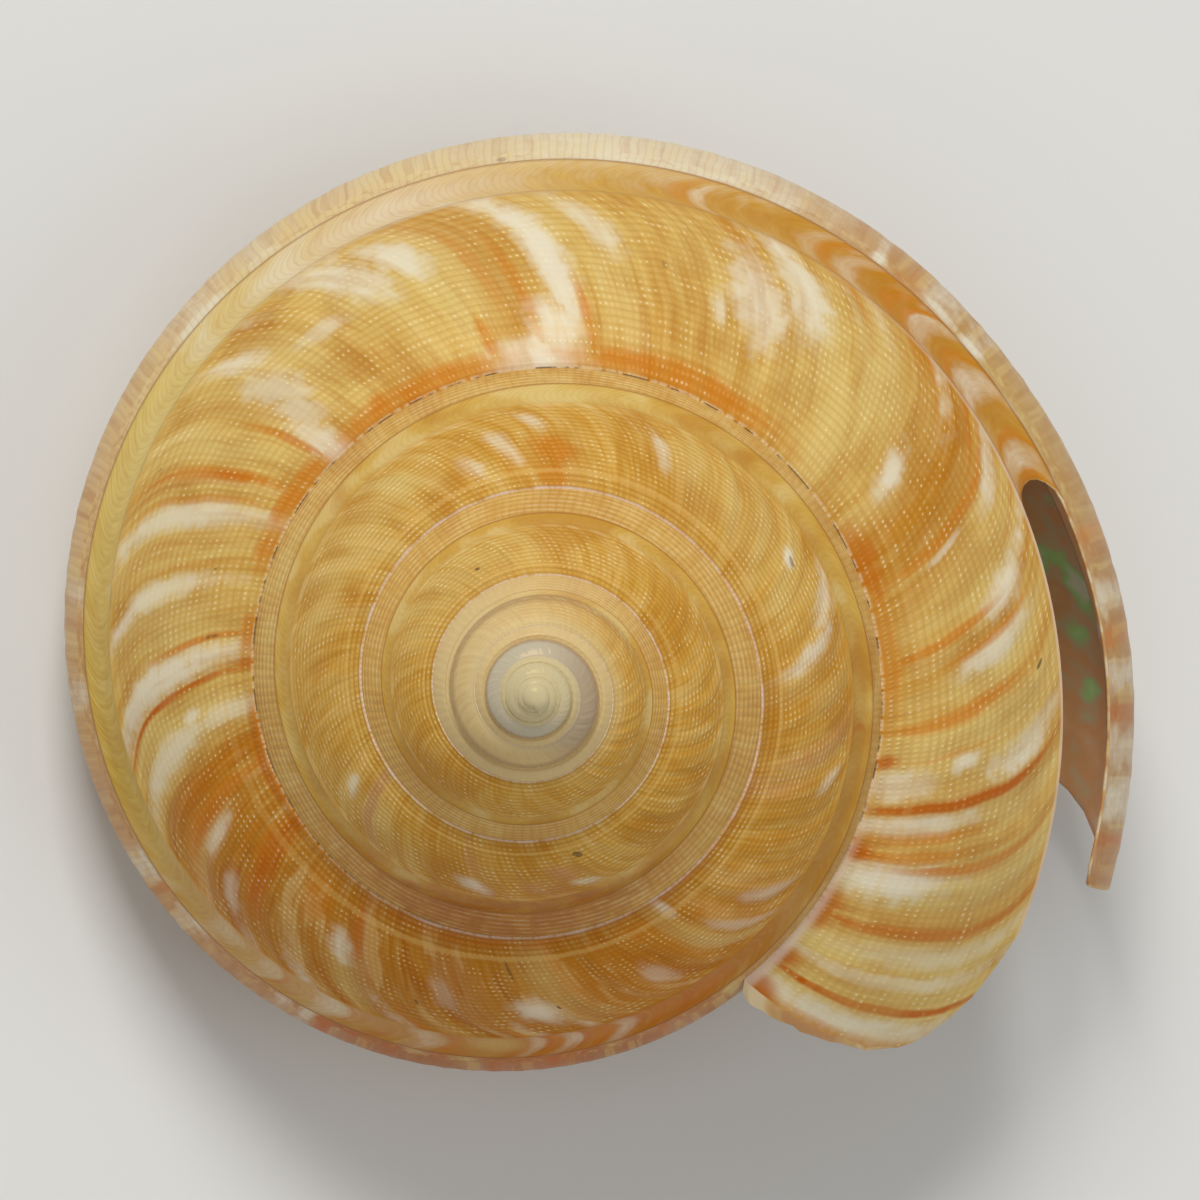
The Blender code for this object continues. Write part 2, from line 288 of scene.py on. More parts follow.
@dataclass(frozen=True)
class GrowthLines:
    """How far each part of a growth line, and of the finished lip, trails behind the suture, in degrees."""

    flank: float = 16.875
    trend: float = 12.5
    trend_power: float = 1.1
    sweep_start: float = 0.6
    sweep_power: int = 3
    slit_top: float = 27.0
    slit_foot: float = 35.3
    strip_lead: float = 1.6
    strip_lead_end: float = 2.35
    basal: float = 11.5
    basal_start: float = 3.15
    basal_onset: float = 0.7
    lunule: float = 3.3
    crescent: float = 4.9
    chip: float = 0.14
    chip_waves: tuple[float, ...] = (5.0, 9.0, 17.0)
    chip_onset: tuple[float, float] = (0.02, 0.2)

    def trailing(self, station: np.ndarray, at_band: float) -> np.ndarray:
        """The lag on the flank: slow at first, then a rounded sweep back along the band.

        Args:
            station: The station of each place.
            at_band: The lag at the band's top.

        Returns:
            The lag of each place in degrees.
        """
        share = np.clip(station, 0.0, 1.0)
        sweep = np.maximum(0.0, (share - self.sweep_start) / (1.0 - self.sweep_start)) ** self.sweep_power
        return self.trend * share**self.trend_power + (at_band - self.trend) * sweep

    def under(self, station: np.ndarray) -> np.ndarray:
        """The extra lag on the underside, where the lines swing back and come forward again."""
        run = (station - self.basal_start) / (COLUMELLA - self.basal_start)
        return self.basal * np.sin(math.pi * np.clip(run, 0.0, 1.0) ** self.basal_onset)

    def grown(self, station: np.ndarray, lunule: float) -> np.ndarray:
        """The lag of a growth line well behind the lip.

        Args:
            station: The station of each place.
            lunule: The extra lag in the band's middle, where each line is an old, round end of the slit.

        Returns:
            The lag of each place in degrees.
        """
        across = np.clip(np.abs(2.0 * station - 3.0), 0.0, 1.0)
        return self.trailing(station, self.flank) + lunule * np.sqrt(1.0 - across**2)

    def lip(self, station: np.ndarray) -> np.ndarray:
        """The lag of the finished lip, which is a little chipped.

        Args:
            station: The station of each place.

        Returns:
            The lag of each place in degrees.
        """
        lead = self.strip_lead * smoothstep(BAND_FOOT, self.strip_lead_end, station)
        below = self.slit_foot - lead + self.under(station)
        across = mix(self.slit_top, below, np.clip(station - BAND_TOP, 0.0, 1.0))
        chips = sum(np.sin(math.tau * count * station + count) for count in self.chip_waves)
        chipped = self.chip * chips * smoothstep(*self.chip_onset, station)
        return np.where(station <= BAND_TOP, self.trailing(station, self.slit_top) + chipped, across)


@dataclass(frozen=True)
class Sculpture:
    """The relief that stands on the smooth form.

    Heights are in metres, and the groove of the young whorls is a share of the band's radius. A wave has its
    count per whorl and its phase, and an undulation its share of the height as well. A zone has four
    stations: its start, where it is in full, where it starts to fall and its end.
    """

    full_size: float = 28.0 * MM
    suture_bead: float = 0.16 * MM
    bead_station: float = 0.022
    bead_width: float = 0.012
    band_sunk: float = 0.16 * MM
    sunk_zone: tuple[float, float, float, float] = (1.02, 1.2, 1.8, 1.98)
    band_edge: float = 0.10 * MM
    edge_widths: tuple[float, float] = (0.018, 0.10)
    undulation: float = 0.07 * MM
    undulations: tuple[tuple[float, float, float], ...] = (
        (23.0, 0.4, 0.5), (37.0, 2.1, 0.8), (61.0, 4.4, 0.6), (83.0, 1.3, 0.5),
    )
    flank_zone: tuple[float, float, float, float] = (0.06, 0.3, 0.93, 1.0)
    undulation_on_base: float = 0.3
    base_zone: tuple[float, float, float, float] = (3.02, 3.2, 3.6, 3.9)
    strip_ridge: float = 0.018 * MM
    ridges: tuple[tuple[float, float], ...] = ((97.0, 0.7), (151.0, 3.3))
    ridge_zone: tuple[float, float, float, float] = (2.1, 2.4, 3.12, 3.25)
    covered_station: float = 2.6
    covered_turns: tuple[float, float] = (-0.09, -0.04)
    young_groove: float = 0.045
    groove_zone: tuple[float, float, float, float] = (1.15, 1.6, 1.85, 2.12)
    young_turns: tuple[float, float] = (-2.2, -3.0)
    joint_turn: float = 0.02
    joints: tuple[float, float] = (0.01, 2.9)

    def height(self, turn: np.ndarray, station: np.ndarray, size: np.ndarray) -> np.ndarray:
        """How far the surface stands out from the smooth form.

        Args:
            turn: The growth line of each point.
            station: The station of each point.
            size: The band's radius at each point, which scales the relief on young whorls.

        Returns:
            The height of each point, 0 on the sutures.
        """
        scale = np.minimum(1.0, size / self.full_size)
        bead = self.suture_bead * np.exp(-(((station - self.bead_station) / self.bead_width) ** 2))
        inside = plateau(self.sunk_zone, station)
        top_width, foot_width = self.edge_widths
        top_edge = np.exp(-(((station - BAND_TOP) / top_width) ** 2))
        edges = top_edge + np.exp(-(((station - BAND_FOOT) / foot_width) ** 2))
        young = smoothstep(*self.young_turns, turn)
        groove = self.young_groove * size * young * plateau(self.groove_zone, station)
        waves = sum(part * np.sin(math.tau * count * turn + phase) for count, phase, part in self.undulations)
        on_flank = plateau(self.flank_zone, station)
        on_base = plateau(self.base_zone, station)
        ridges = sum(np.sin(math.tau * count * turn + phase) for count, phase in self.ridges)
        uncovered = np.where(station > self.covered_station, smoothstep(*self.covered_turns, turn), 1.0)
        on_strip = plateau(self.ridge_zone, station) * uncovered
        relief = bead - self.band_sunk * inside + self.band_edge * edges * (1.0 - young)
        relief = relief + self.undulation * waves * (on_flank + self.undulation_on_base * on_base)
        relief = relief + self.strip_ridge * ridges * on_strip
        beside_suture, before_next = self.joints
        joined = np.where(turn < self.joint_turn, smoothstep(NEXT_SUTURE, before_next, station), 1.0)
        closed = smoothstep(SUTURE, beside_suture, station) * joined
        return (relief * scale - groove) * closed


class Pigment(Enum):
    """The colours in the shell, in the order in which they cover each other."""

    AMBER = ("#B06C0C", 1.4, 0.80, 0.70)
    CREAM = ("#D8BE74", 1.4, 0.90, 0.80)
    ROSE = ("#BC845A", 1.2, 0.70, 0.65)
    WHITE = ("#E4DCC4", 1.4, 1.40, 0.85)
    ORANGE = ("#C87208", 1.1, 0.80, 0.85)
    RUST = ("#BC5C06", 1.1, 0.70, 0.95)
    # Dark specks of dirt, and in one broad mark on the spire painted shade as well.
    SOIL = ("#453628", 0.4, 0.50, 0.85)

    def __init__(self, code: str, softness: float, fray: float, cover: float) -> None:
        """Names the values of a colour.

        Args:
            code: Its sRGB code.
            softness: How soft its borders are, as a share of the mark.
            fray: How much the grain of the surface frays them.
            cover: How much it covers.
        """
        self.code = code
        self.softness = softness
        self.fray = fray
        self.cover = cover


@dataclass(frozen=True)
class Flame:
    """One mark of pigment that lies along the growth lines.

    Its place is where its growth line leaves the suture, in degrees along the body whorl, and its middle
    station. Its width is half of what it covers along the suture, and its reach half of what it covers
    between the suture and the band.
    """

    degrees: float
    width: float
    station: float
    reach: float
    strength: float

    def size(self) -> tuple[float, float, float]:
        """What turns a place on the growth map to widths and reaches of this flame, and its strength."""
        return (WHOLE / self.width, 1.0 / self.reach, self.strength)

    def offset(self) -> tuple[float, float, float]:
        """The same for its middle, which is to be taken away."""
        return (-self.degrees / self.width, -self.station / self.reach, 0.0)


# The marks of each pigment: degrees, width, station, reach and strength.
MARKS = {
    Pigment.AMBER: (
        (20, 46, 0.5, 0.75, 1), (68, 14, 0.55, 0.75, 0.8), (251.5, 6.5, 0.35, 0.6, 0.95),
        (100, 1, 0.5, 0.5, 0.5), (106, 1.6, 0.5, 0.5, 0.4), (117.5, 1.6, 0.5, 0.5, 0.6),
        (139.5, 1.8, 0.78, 0.22, 0.6), (151, 2.6, 0.8, 0.2, 0.6), (180, 5, 0.5, 0.45, 0.7),
        (222.5, 1.2, 0.5, 0.3, 0.5), (292.5, 2.6, 0.55, 0.6, 0.5), (306.8, 2.8, 0.5, 0.7, 0.45),
        (329, 2.2, 0.5, 0.7, 0.9), (270, 2.2, 0.4, 0.4, 0.45), (204, 8, 0.3, 0.22, 0.35),
        (158, 7, 0.35, 0.2, 0.3), (10, 46, 1.5, 0.6, 0.9), (68, 12, 1.5, 0.6, 0.25),
        (102, 3, 1.5, 0.5, 0.45), (117, 2.4, 1.5, 0.5, 0.35), (236, 34, 1.5, 0.6, 0.85),
        (232, 6, 2.5, 0.7, 0.35), (-30, 22, 0.16, 0.2, 0.45), (-140, 8, 0.3, 0.36, 0.5),
        (-172, 9, 0.25, 0.3, 0.5), (-10, 20, 0.6, 0.5, 0.45), (-75, 30, 0.1, 0.12, 0.4),
        # (-340, 26) and (-334, 30) darken the spire's side turned from the key light: partly pigment, partly
        # painted shade.
        (-340, 26, 0.4, 0.5, 0.4), (-334, 30, 2.1, 0.9, 0.6), (-28, 34, 1.55, 0.6, 0.7),
        (-206, 2.4, 1.5, 0.6, 0.6), (-128, 3, 1.6, 0.5, 0.7), (-116, 2, 1.5, 0.6, 0.6),
        (-72, 2.6, 1.6, 0.6, 0.6),
    ),
    Pigment.CREAM: (
        (2.5, 4, 0.45, 0.5, 0.6), (41.5, 3.2, 0.7, 0.28, 0.6), (87.5, 5.5, 0.6, 0.6, 0.8),
        (105, 9, 0.5, 0.6, 0.45), (118, 8, 0.55, 0.6, 0.5), (133.5, 4, 0.6, 0.55, 0.6),
        (146, 8, 0.55, 0.4, 0.7), (169, 9, 0.6, 0.4, 0.7), (196, 8, 0.7, 0.35, 0.5),
        (212, 8, 0.6, 0.4, 0.4), (232.5, 12, 0.5, 0.62, 0.85), (263, 6, 0.6, 0.5, 0.75),
        (276.5, 3.2, 0.6, 0.5, 0.6), (285, 5.5, 0.5, 0.6, 0.75), (304, 4.4, 0.55, 0.65, 0.9),
        (314.5, 4.6, 0.5, 0.7, 0.9), (320.4, 4.5, 0.5, 0.6, 0.8), (296, 3.5, 0.65, 0.45, 0.5),
        (150, 30, 1.5, 0.6, 0.45), (178, 40, 2.5, 0.7, 0.5), (260, 12, 2.5, 0.7, 0.4),
        (-26, 2.4, 0.5, 0.6, 0.9), (-79, 2.4, 0.7, 0.22, 0.7), (-120, 22, 0.6, 0.4, 0.5),
        (-206, 4, 0.72, 0.3, 0.8), (-245, 12, 0.6, 0.3, 0.5), (-300, 16, 0.7, 0.3, 0.4),
        (-152, 14, 1.55, 0.4, 0.8), (-120, 3, 1.5, 0.35, 0.6), (-234, 18, 2.5, 0.7, 0.4),
        (-568, 36, 0.6, 0.6, 0.6), (-222, 20, 0.6, 0.45, 0.45), (5, 1.6, 2.5, 0.5, 0.6),
        (27.4, 2, 2.5, 0.5, 0.6), (35, 1.2, 2.5, 0.5, 0.5), (27.6, 4, 1.45, 0.42, 0.75),
        (-15.5, 1.6, 2.5, 0.6, 0.8),
    ),
    Pigment.ROSE: (
        (20, 4, 0.45, 0.32, 0.5), (38, 1.2, 0.55, 0.55, 0.6), (127.5, 0.9, 0.5, 0.2, 0.6),
        (301.6, 0.9, 0.4, 0.36, 0.6), (182, 20, 1.5, 0.6, 0.35), (70, 14, 1.5, 0.6, 0.5),
        (46, 4, 1.6, 0.5, 0.6), (14, 1.6, 1.5, 0.6, 0.7), (-4, 5, 2.5, 0.6, 0.6), (28, 10, 2.5, 0.7, 0.25),
        (64, 5, 2.5, 0.7, 0.7), (90, 6, 2.5, 0.7, 0.5), (112.5, 1.4, 2.6, 0.4, 0.7),
        (306.5, 2.4, 2.5, 0.8, 0.9), (274, 2, 2.5, 0.7, 0.6), (-64, 3, 0.22, 0.34, 0.7),
        (-68.5, 3, 0.62, 0.36, 0.7), (-299.6, 2.2, 0.45, 0.6, 0.9), (-335, 1.8, 0.36, 0.28, 0.6),
        (-352, 6, 0.8, 0.14, 0.7), (-362, 4.6, 0.56, 0.18, 0.8),
    ),
    Pigment.WHITE: (
        (8.6, 3.2, 0.72, 0.14, 0.85), (23.5, 1.8, 0.6, 0.15, 0.45), (42, 2.2, 0.5, 0.11, 0.9),
        (64.8, 1.4, 0.77, 0.12, 0.85), (70.8, 1.5, 0.56, 0.14, 0.6), (86.2, 1.8, 0.2, 0.2, 0.5),
        (86, 2.2, 0.66, 0.34, 0.65), (88.6, 0.9, 0.42, 0.07, 0.7), (96.9, 2.5, 0.62, 0.52, 0.85),
        (110.3, 1.6, 0.66, 0.42, 0.75), (121.8, 1.8, 0.55, 0.52, 0.7), (139.6, 2.4, 0.1, 0.2, 1),
        (142, 2.4, 0.32, 0.14, 0.85), (144, 3, 0.5, 0.16, 0.85), (147, 2, 0.8, 0.12, 0.75),
        (155, 3.4, 0.6, 0.05, 0.5), (165.2, 2.8, 0.81, 0.22, 0.9), (171.4, 2.3, 0.78, 0.15, 0.85),
        (180.5, 7, 0.03, 0.1, 1), (185.4, 3.6, 0.18, 0.15, 0.95), (188.4, 2.3, 0.6, 0.55, 0.9),
        (197.6, 2, 0.8, 0.16, 0.7), (211.8, 1.3, 0.46, 0.08, 0.6), (218.2, 3.7, 0.62, 0.21, 0.95),
        (225.6, 3.2, 0.8, 0.22, 0.9), (244.2, 1.6, 0.37, 0.13, 0.85), (257.9, 0.5, 0.45, 0.12, 0.9),
        (258.8, 1.6, 0.88, 0.12, 0.8), (268.5, 2.1, 0.72, 0.14, 0.85), (274, 1.5, 0.6, 0.2, 0.75),
        (286.4, 1.2, 0.42, 0.07, 0.8), (288.4, 1.9, 0.76, 0.18, 0.9), (288, 2, 0.12, 0.14, 0.8),
        (294.4, 1.4, 0.24, 0.24, 0.8), (302.8, 2.4, 0.2, 0.24, 0.9), (316.6, 0.9, 0.5, 0.5, 0.6),
        (323.4, 1.6, 0.48, 0.5, 0.85), (313, 1.4, 0.6, 0.4, 0.45), (6.6, 1.6, 1.5, 0.5, 0.75),
        (15.4, 1.5, 1.5, 0.5, 0.75), (21, 1.2, 1.5, 0.45, 0.6), (37.6, 2.4, 1.5, 0.5, 0.75),
        (53, 2.6, 1.5, 0.5, 0.9), (63.4, 1.9, 1.5, 0.5, 0.85), (71.6, 2.4, 1.5, 0.4, 0.5),
        (155.8, 2.2, 1.5, 0.45, 0.75), (168.5, 3.6, 1.5, 0.5, 0.7), (187, 14, 1.5, 0.3, 0.4),
        (220.2, 0.9, 1.5, 0.5, 0.75), (233.8, 1.3, 1.5, 0.5, 0.5), (239, 1.3, 1.5, 0.5, 0.6),
        (249.6, 1.7, 1.5, 0.5, 0.95), (258, 2, 1.5, 0.5, 0.95), (267.6, 1.7, 1.5, 0.5, 0.95),
        (51, 1.3, 2.6, 0.6, 0.9), (55.2, 1.5, 2.5, 0.6, 0.6), (71.5, 2.2, 2.5, 0.6, 0.8),
        (80.5, 2.6, 2.5, 0.6, 0.8), (104, 2, 2.6, 0.5, 0.7), (117, 1.5, 2.6, 0.5, 0.5),
        (153, 4.5, 2.5, 0.6, 0.75), (163, 2, 2.7, 0.6, 0.5), (210, 16, 2.5, 0.8, 0.6),
        (224.6, 2.2, 2.5, 0.6, 0.95), (236.6, 0.9, 2.5, 0.55, 1), (245, 2.6, 2.6, 0.6, 0.8),
        (250.5, 1.5, 2.5, 0.5, 0.95), (279.6, 1.5, 2.6, 0.6, 0.7), (288, 1.4, 2.5, 0.8, 0.7),
        (294.8, 2, 2.5, 0.8, 0.75), (300, 1.9, 2.5, 0.8, 0.8), (-14.5, 1.8, 0.68, 0.15, 0.8),
        (-28.2, 1.2, 0.14, 0.12, 0.8), (-30.2, 1.3, 0.74, 0.24, 0.7), (-37.6, 1.8, 0.76, 0.17, 0.7),
        (-60.4, 1.8, 0.8, 0.09, 0.8), (-89.6, 2, 0.54, 0.32, 0.75), (-94, 3, 0.86, 0.18, 0.7),
        (-108, 1.8, 0.68, 0.07, 0.9), (-143.6, 1.6, 0.64, 0.18, 0.6), (-181.6, 2.2, 0.52, 0.2, 0.6),
        (-170.6, 1.8, 0.78, 0.12, 0.6), (-192, 2.2, 0.36, 0.16, 0.5), (-292, 2, 0.54, 0.12, 0.6),
        (-332, 4, 0.8, 0.12, 0.9), (-363.6, 2.8, 0.84, 0.08, 0.7),
    ),
    Pigment.ORANGE: (
        (-1, 1.4, 0.35, 0.5, 0.5), (48, 3, 0.26, 0.18, 0.45), (61.5, 1.8, 0.3, 0.34, 0.5),
        (65.4, 0.6, 0.42, 0.24, 0.6), (74.4, 2, 0.48, 0.4, 0.75), (78.2, 1.5, 0.46, 0.34, 0.65),
        (100.2, 0.6, 0.3, 0.34, 0.8), (113.2, 0.6, 0.4, 0.4, 0.4), (124.4, 0.7, 0.5, 0.42, 0.55),
        (128.6, 1.1, 0.52, 0.44, 0.85), (137, 0.8, 0.22, 0.26, 0.8), (173.6, 1.1, 0.16, 0.11, 0.8),
        (178.4, 1, 0.6, 0.3, 0.4), (182.2, 1, 0.45, 0.3, 0.5), (190.8, 0.9, 0.2, 0.24, 0.8),
        (256.4, 0.9, 0.58, 0.42, 0.8), (268.6, 0.8, 0.3, 0.32, 0.75), (272.2, 0.7, 0.58, 0.24, 0.6),
        (279.3, 1.1, 0.36, 0.38, 0.8), (284.6, 0.6, 0.36, 0.22, 0.4), (296.2, 0.9, 0.3, 0.28, 0.8),
        (299, 0.9, 0.24, 0.26, 0.85), (300.9, 0.8, 0.62, 0.36, 0.85), (325.4, 1.1, 0.4, 0.5, 0.5),
        (100, 4, 0.04, 0.04, 0.7), (118, 6, 0.04, 0.05, 0.75), (129, 9, 0.05, 0.06, 0.9),
        (157.5, 17, 0.045, 0.065, 0.95), (206, 19, 0.055, 0.07, 0.9), (266, 12, 0.04, 0.05, 0.6),
        (218.2, 1.2, 1.5, 0.6, 0.6), (235.8, 1, 1.5, 0.6, 0.8), (245, 1.3, 1.5, 0.6, 0.8),
        (247.6, 0.6, 1.5, 0.6, 0.95), (254.4, 0.9, 1.5, 0.6, 1), (264.9, 0.7, 1.5, 0.6, 1),
        (270, 0.7, 1.5, 0.6, 0.9), (77, 0.9, 2.6, 0.6, 0.8), (284, 1.2, 2.5, 0.9, 0.75),
        (241, 2, 2.5, 0.6, 0.4), (273.4, 1, 2.5, 0.8, 0.5), (-20, 5, 0.2, 0.14, 0.6),
        (-171, 4.4, 0.42, 0.16, 0.7), (-174, 4, 0.1, 0.16, 0.6), (-22, 26, 0.6, 0.5, 0.35),
        (12, 1.2, 2.5, 0.6, 0.7), (41.6, 1, 2.5, 0.6, 0.6), (0.4, 2.8, 1.5, 0.55, 0.75),
        (10.6, 1.8, 1.5, 0.55, 0.8), (18.2, 1.1, 1.5, 0.55, 0.9), (33.6, 0.9, 1.5, 0.55, 0.7),
        (-7, 4, 1.7, 0.4, 0.6),
    ),
    Pigment.RUST: (
        (16, 24, 0.05, 0.05, 0.45), (38.7, 0.9, 0.3, 0.2, 0.65), (59.8, 2.1, 0.32, 0.44, 0.75),
        (64.2, 0.5, 0.62, 0.16, 0.45), (73.6, 0.7, 0.55, 0.22, 0.3), (75, 11, 0.03, 0.035, 0.6),
        (93.3, 0.55, 0.48, 0.55, 1), (94, 1.3, 0.035, 0.045, 0.9), (128.4, 0.7, 0.44, 0.14, 0.4),
        (251, 6, 0.04, 0.06, 0.6), (284.2, 1.1, 0.04, 0.06, 0.8), (291.8, 0.75, 0.48, 0.56, 0.92),
        (298.6, 1.7, 0.04, 0.06, 0.9), (309.8, 0.8, 0.46, 0.62, 0.95), (309, 3.2, 0.03, 0.06, 0.95),
        (320.4, 0.55, 0.48, 0.55, 1), (318.6, 1.6, 0.04, 0.06, 0.8), (325, 2, 0.04, 0.07, 0.85),
        (291.6, 1.1, 2.5, 0.9, 0.65), (304, 0.7, 2.5, 0.9, 0.6), (18, 4, 2.6, 0.5, 0.4),
        (-4, 1.2, 1.6, 0.5, 0.6), (-40, 26, 0.03, 0.035, 0.35), (4.6, 0.6, 1.5, 0.55, 0.75),
        (13.4, 0.6, 1.5, 0.55, 0.75), (19.4, 0.6, 1.5, 0.55, 0.65), (34.7, 0.6, 1.5, 0.55, 0.7),
        (49.9, 0.5, 1.5, 0.55, 0.6), (61, 0.6, 1.5, 0.55, 0.7), (-60, 0.6, 1.4, 0.5, 0.5),
        (9.6, 0.7, 2.4, 0.6, 0.6), (14.4, 1.5, 2.5, 0.7, 0.85), (22.8, 1.7, 2.5, 0.7, 0.6),
        (31.4, 1.2, 2.4, 0.6, 0.45), (38.4, 1.5, 2.5, 0.6, 0.7), (44.2, 1.6, 2.35, 0.6, 0.8),
        # (-334, 38) darkens the band and strip on the spire's side turned from the key light: partly pigment,
        # partly painted shade.
        (48.4, 1.5, 2.6, 0.6, 0.9), (-3, 0.9, 2.5, 0.6, 0.5), (-334, 38, 2.1, 1.15, 0.55),
    ),
    Pigment.SOIL: (
        (8.3, 0.35, 0.27, 0.09, 0.7), (4.5, 0.25, 0.7, 0.02, 0.9), (29.2, 0.25, 0.72, 0.02, 0.8),
        (204.5, 0.5, 0.6, 0.02, 0.5), (281, 0.3, 0.86, 0.02, 0.8), (100.2, 0.3, 0.24, 0.05, 0.5),
        (112, 0.25, 0.27, 0.01, 0.8), (131, 0.3, 0.88, 0.01, 0.6), (-107, 1.2, 0.69, 0.025, 0.6),
        (-371, 1.6, 0.3, 0.05, 0.8), (-560, 1, 0.45, 0.03, 0.95), (193, 0.5, 2.4, 0.2, 0.6),
        # (-338, 34) darkens the band and strip on the spire's side turned from the key light: partly dirt,
        # partly painted shade.
        (-338, 34, 2.2, 1.1, 0.26), (-351, 1.1, 2.88, 0.08, 0.7), (-344, 0.8, 2.86, 0.06, 0.6),
    ),
}

FLAMES = {pigment: [Flame(*numbers) for numbers in marks] for pigment, marks in MARKS.items()}


@dataclass
class Skin:
    """One sheet of the shell's surface, as a grid of points and what its two maps say at each."""

    name: str
    points: np.ndarray
    growth: np.ndarray
    threads: np.ndarray
    material: bpy.types.Material

    def build(self) -> bpy.types.Object:
        """Adds a grid with as many points, puts each in its place and writes the maps on its corners.

        Returns:
            The sheet as an object.
        """
        bpy.ops.object.select_all(action="DESELECT")
        rows, columns = self.points.shape[:2]
        bpy.ops.mesh.primitive_grid_add(x_subdivisions=columns - 1, y_subdivisions=rows - 1, size=MM)
        sheet = bpy.context.object
        sheet.name = self.name
        sheet.data.name = self.name
        sheet.data.vertices.foreach_set("co", self.points.astype(np.float32).ravel())
        corners = np.empty(len(sheet.data.loops), np.int32)
        sheet.data.loops.foreach_get("vertex_index", corners)
        while sheet.data.uv_layers:
            sheet.data.uv_layers.remove(sheet.data.uv_layers[0])
        for name, values in (("growth", self.growth), ("threads", self.threads)):
            layer = sheet.data.uv_layers.new(name=name)
            layer.uv.foreach_set("vector", values.reshape(-1, 2)[corners].astype(np.float32).ravel())
        self.mark_flames(sheet.data)
        sheet.data.materials.append(self.material)
        return sheet

    def mark_flames(self, data: bpy.types.Mesh) -> None:
        """Writes on each face, for each pigment, the size and middle of the flame that shows most there.

        A finish then measures how far a point is from that flame, so a flame's edge is as fine as the map,
        and the faces may be larger than the flame.

        Args:
            data: The sheet's mesh, whose faces are in rows as its points are.
        """
        corners = self.growth[:-1, :-1] + self.growth[1:, :-1] + self.growth[:-1, 1:] + self.growth[1:, 1:]
        middles = corners.reshape(-1, 1, 2) / 4.0
        for pigment, flames in FLAMES.items():
            sizes = np.array([flame.size() for flame in flames])
            offsets = np.array([flame.offset() for flame in flames])
            away = np.linalg.norm(middles * sizes[None, :, :2] + offsets[None, :, :2], axis=-1)
            near = 1.0 + pigment.softness / 2.0 - away
            shown = np.where(near > 0.0, near * sizes[None, :, 2], near).argmax(axis=1)
            for part, values in (("size", sizes), ("offset", offsets)):
                layer = data.attributes.new(f"{pigment.name.lower()}_{part}", "FLOAT_VECTOR", "FACE")
                layer.data.foreach_set("vector", values[shown].astype(np.float32).ravel())


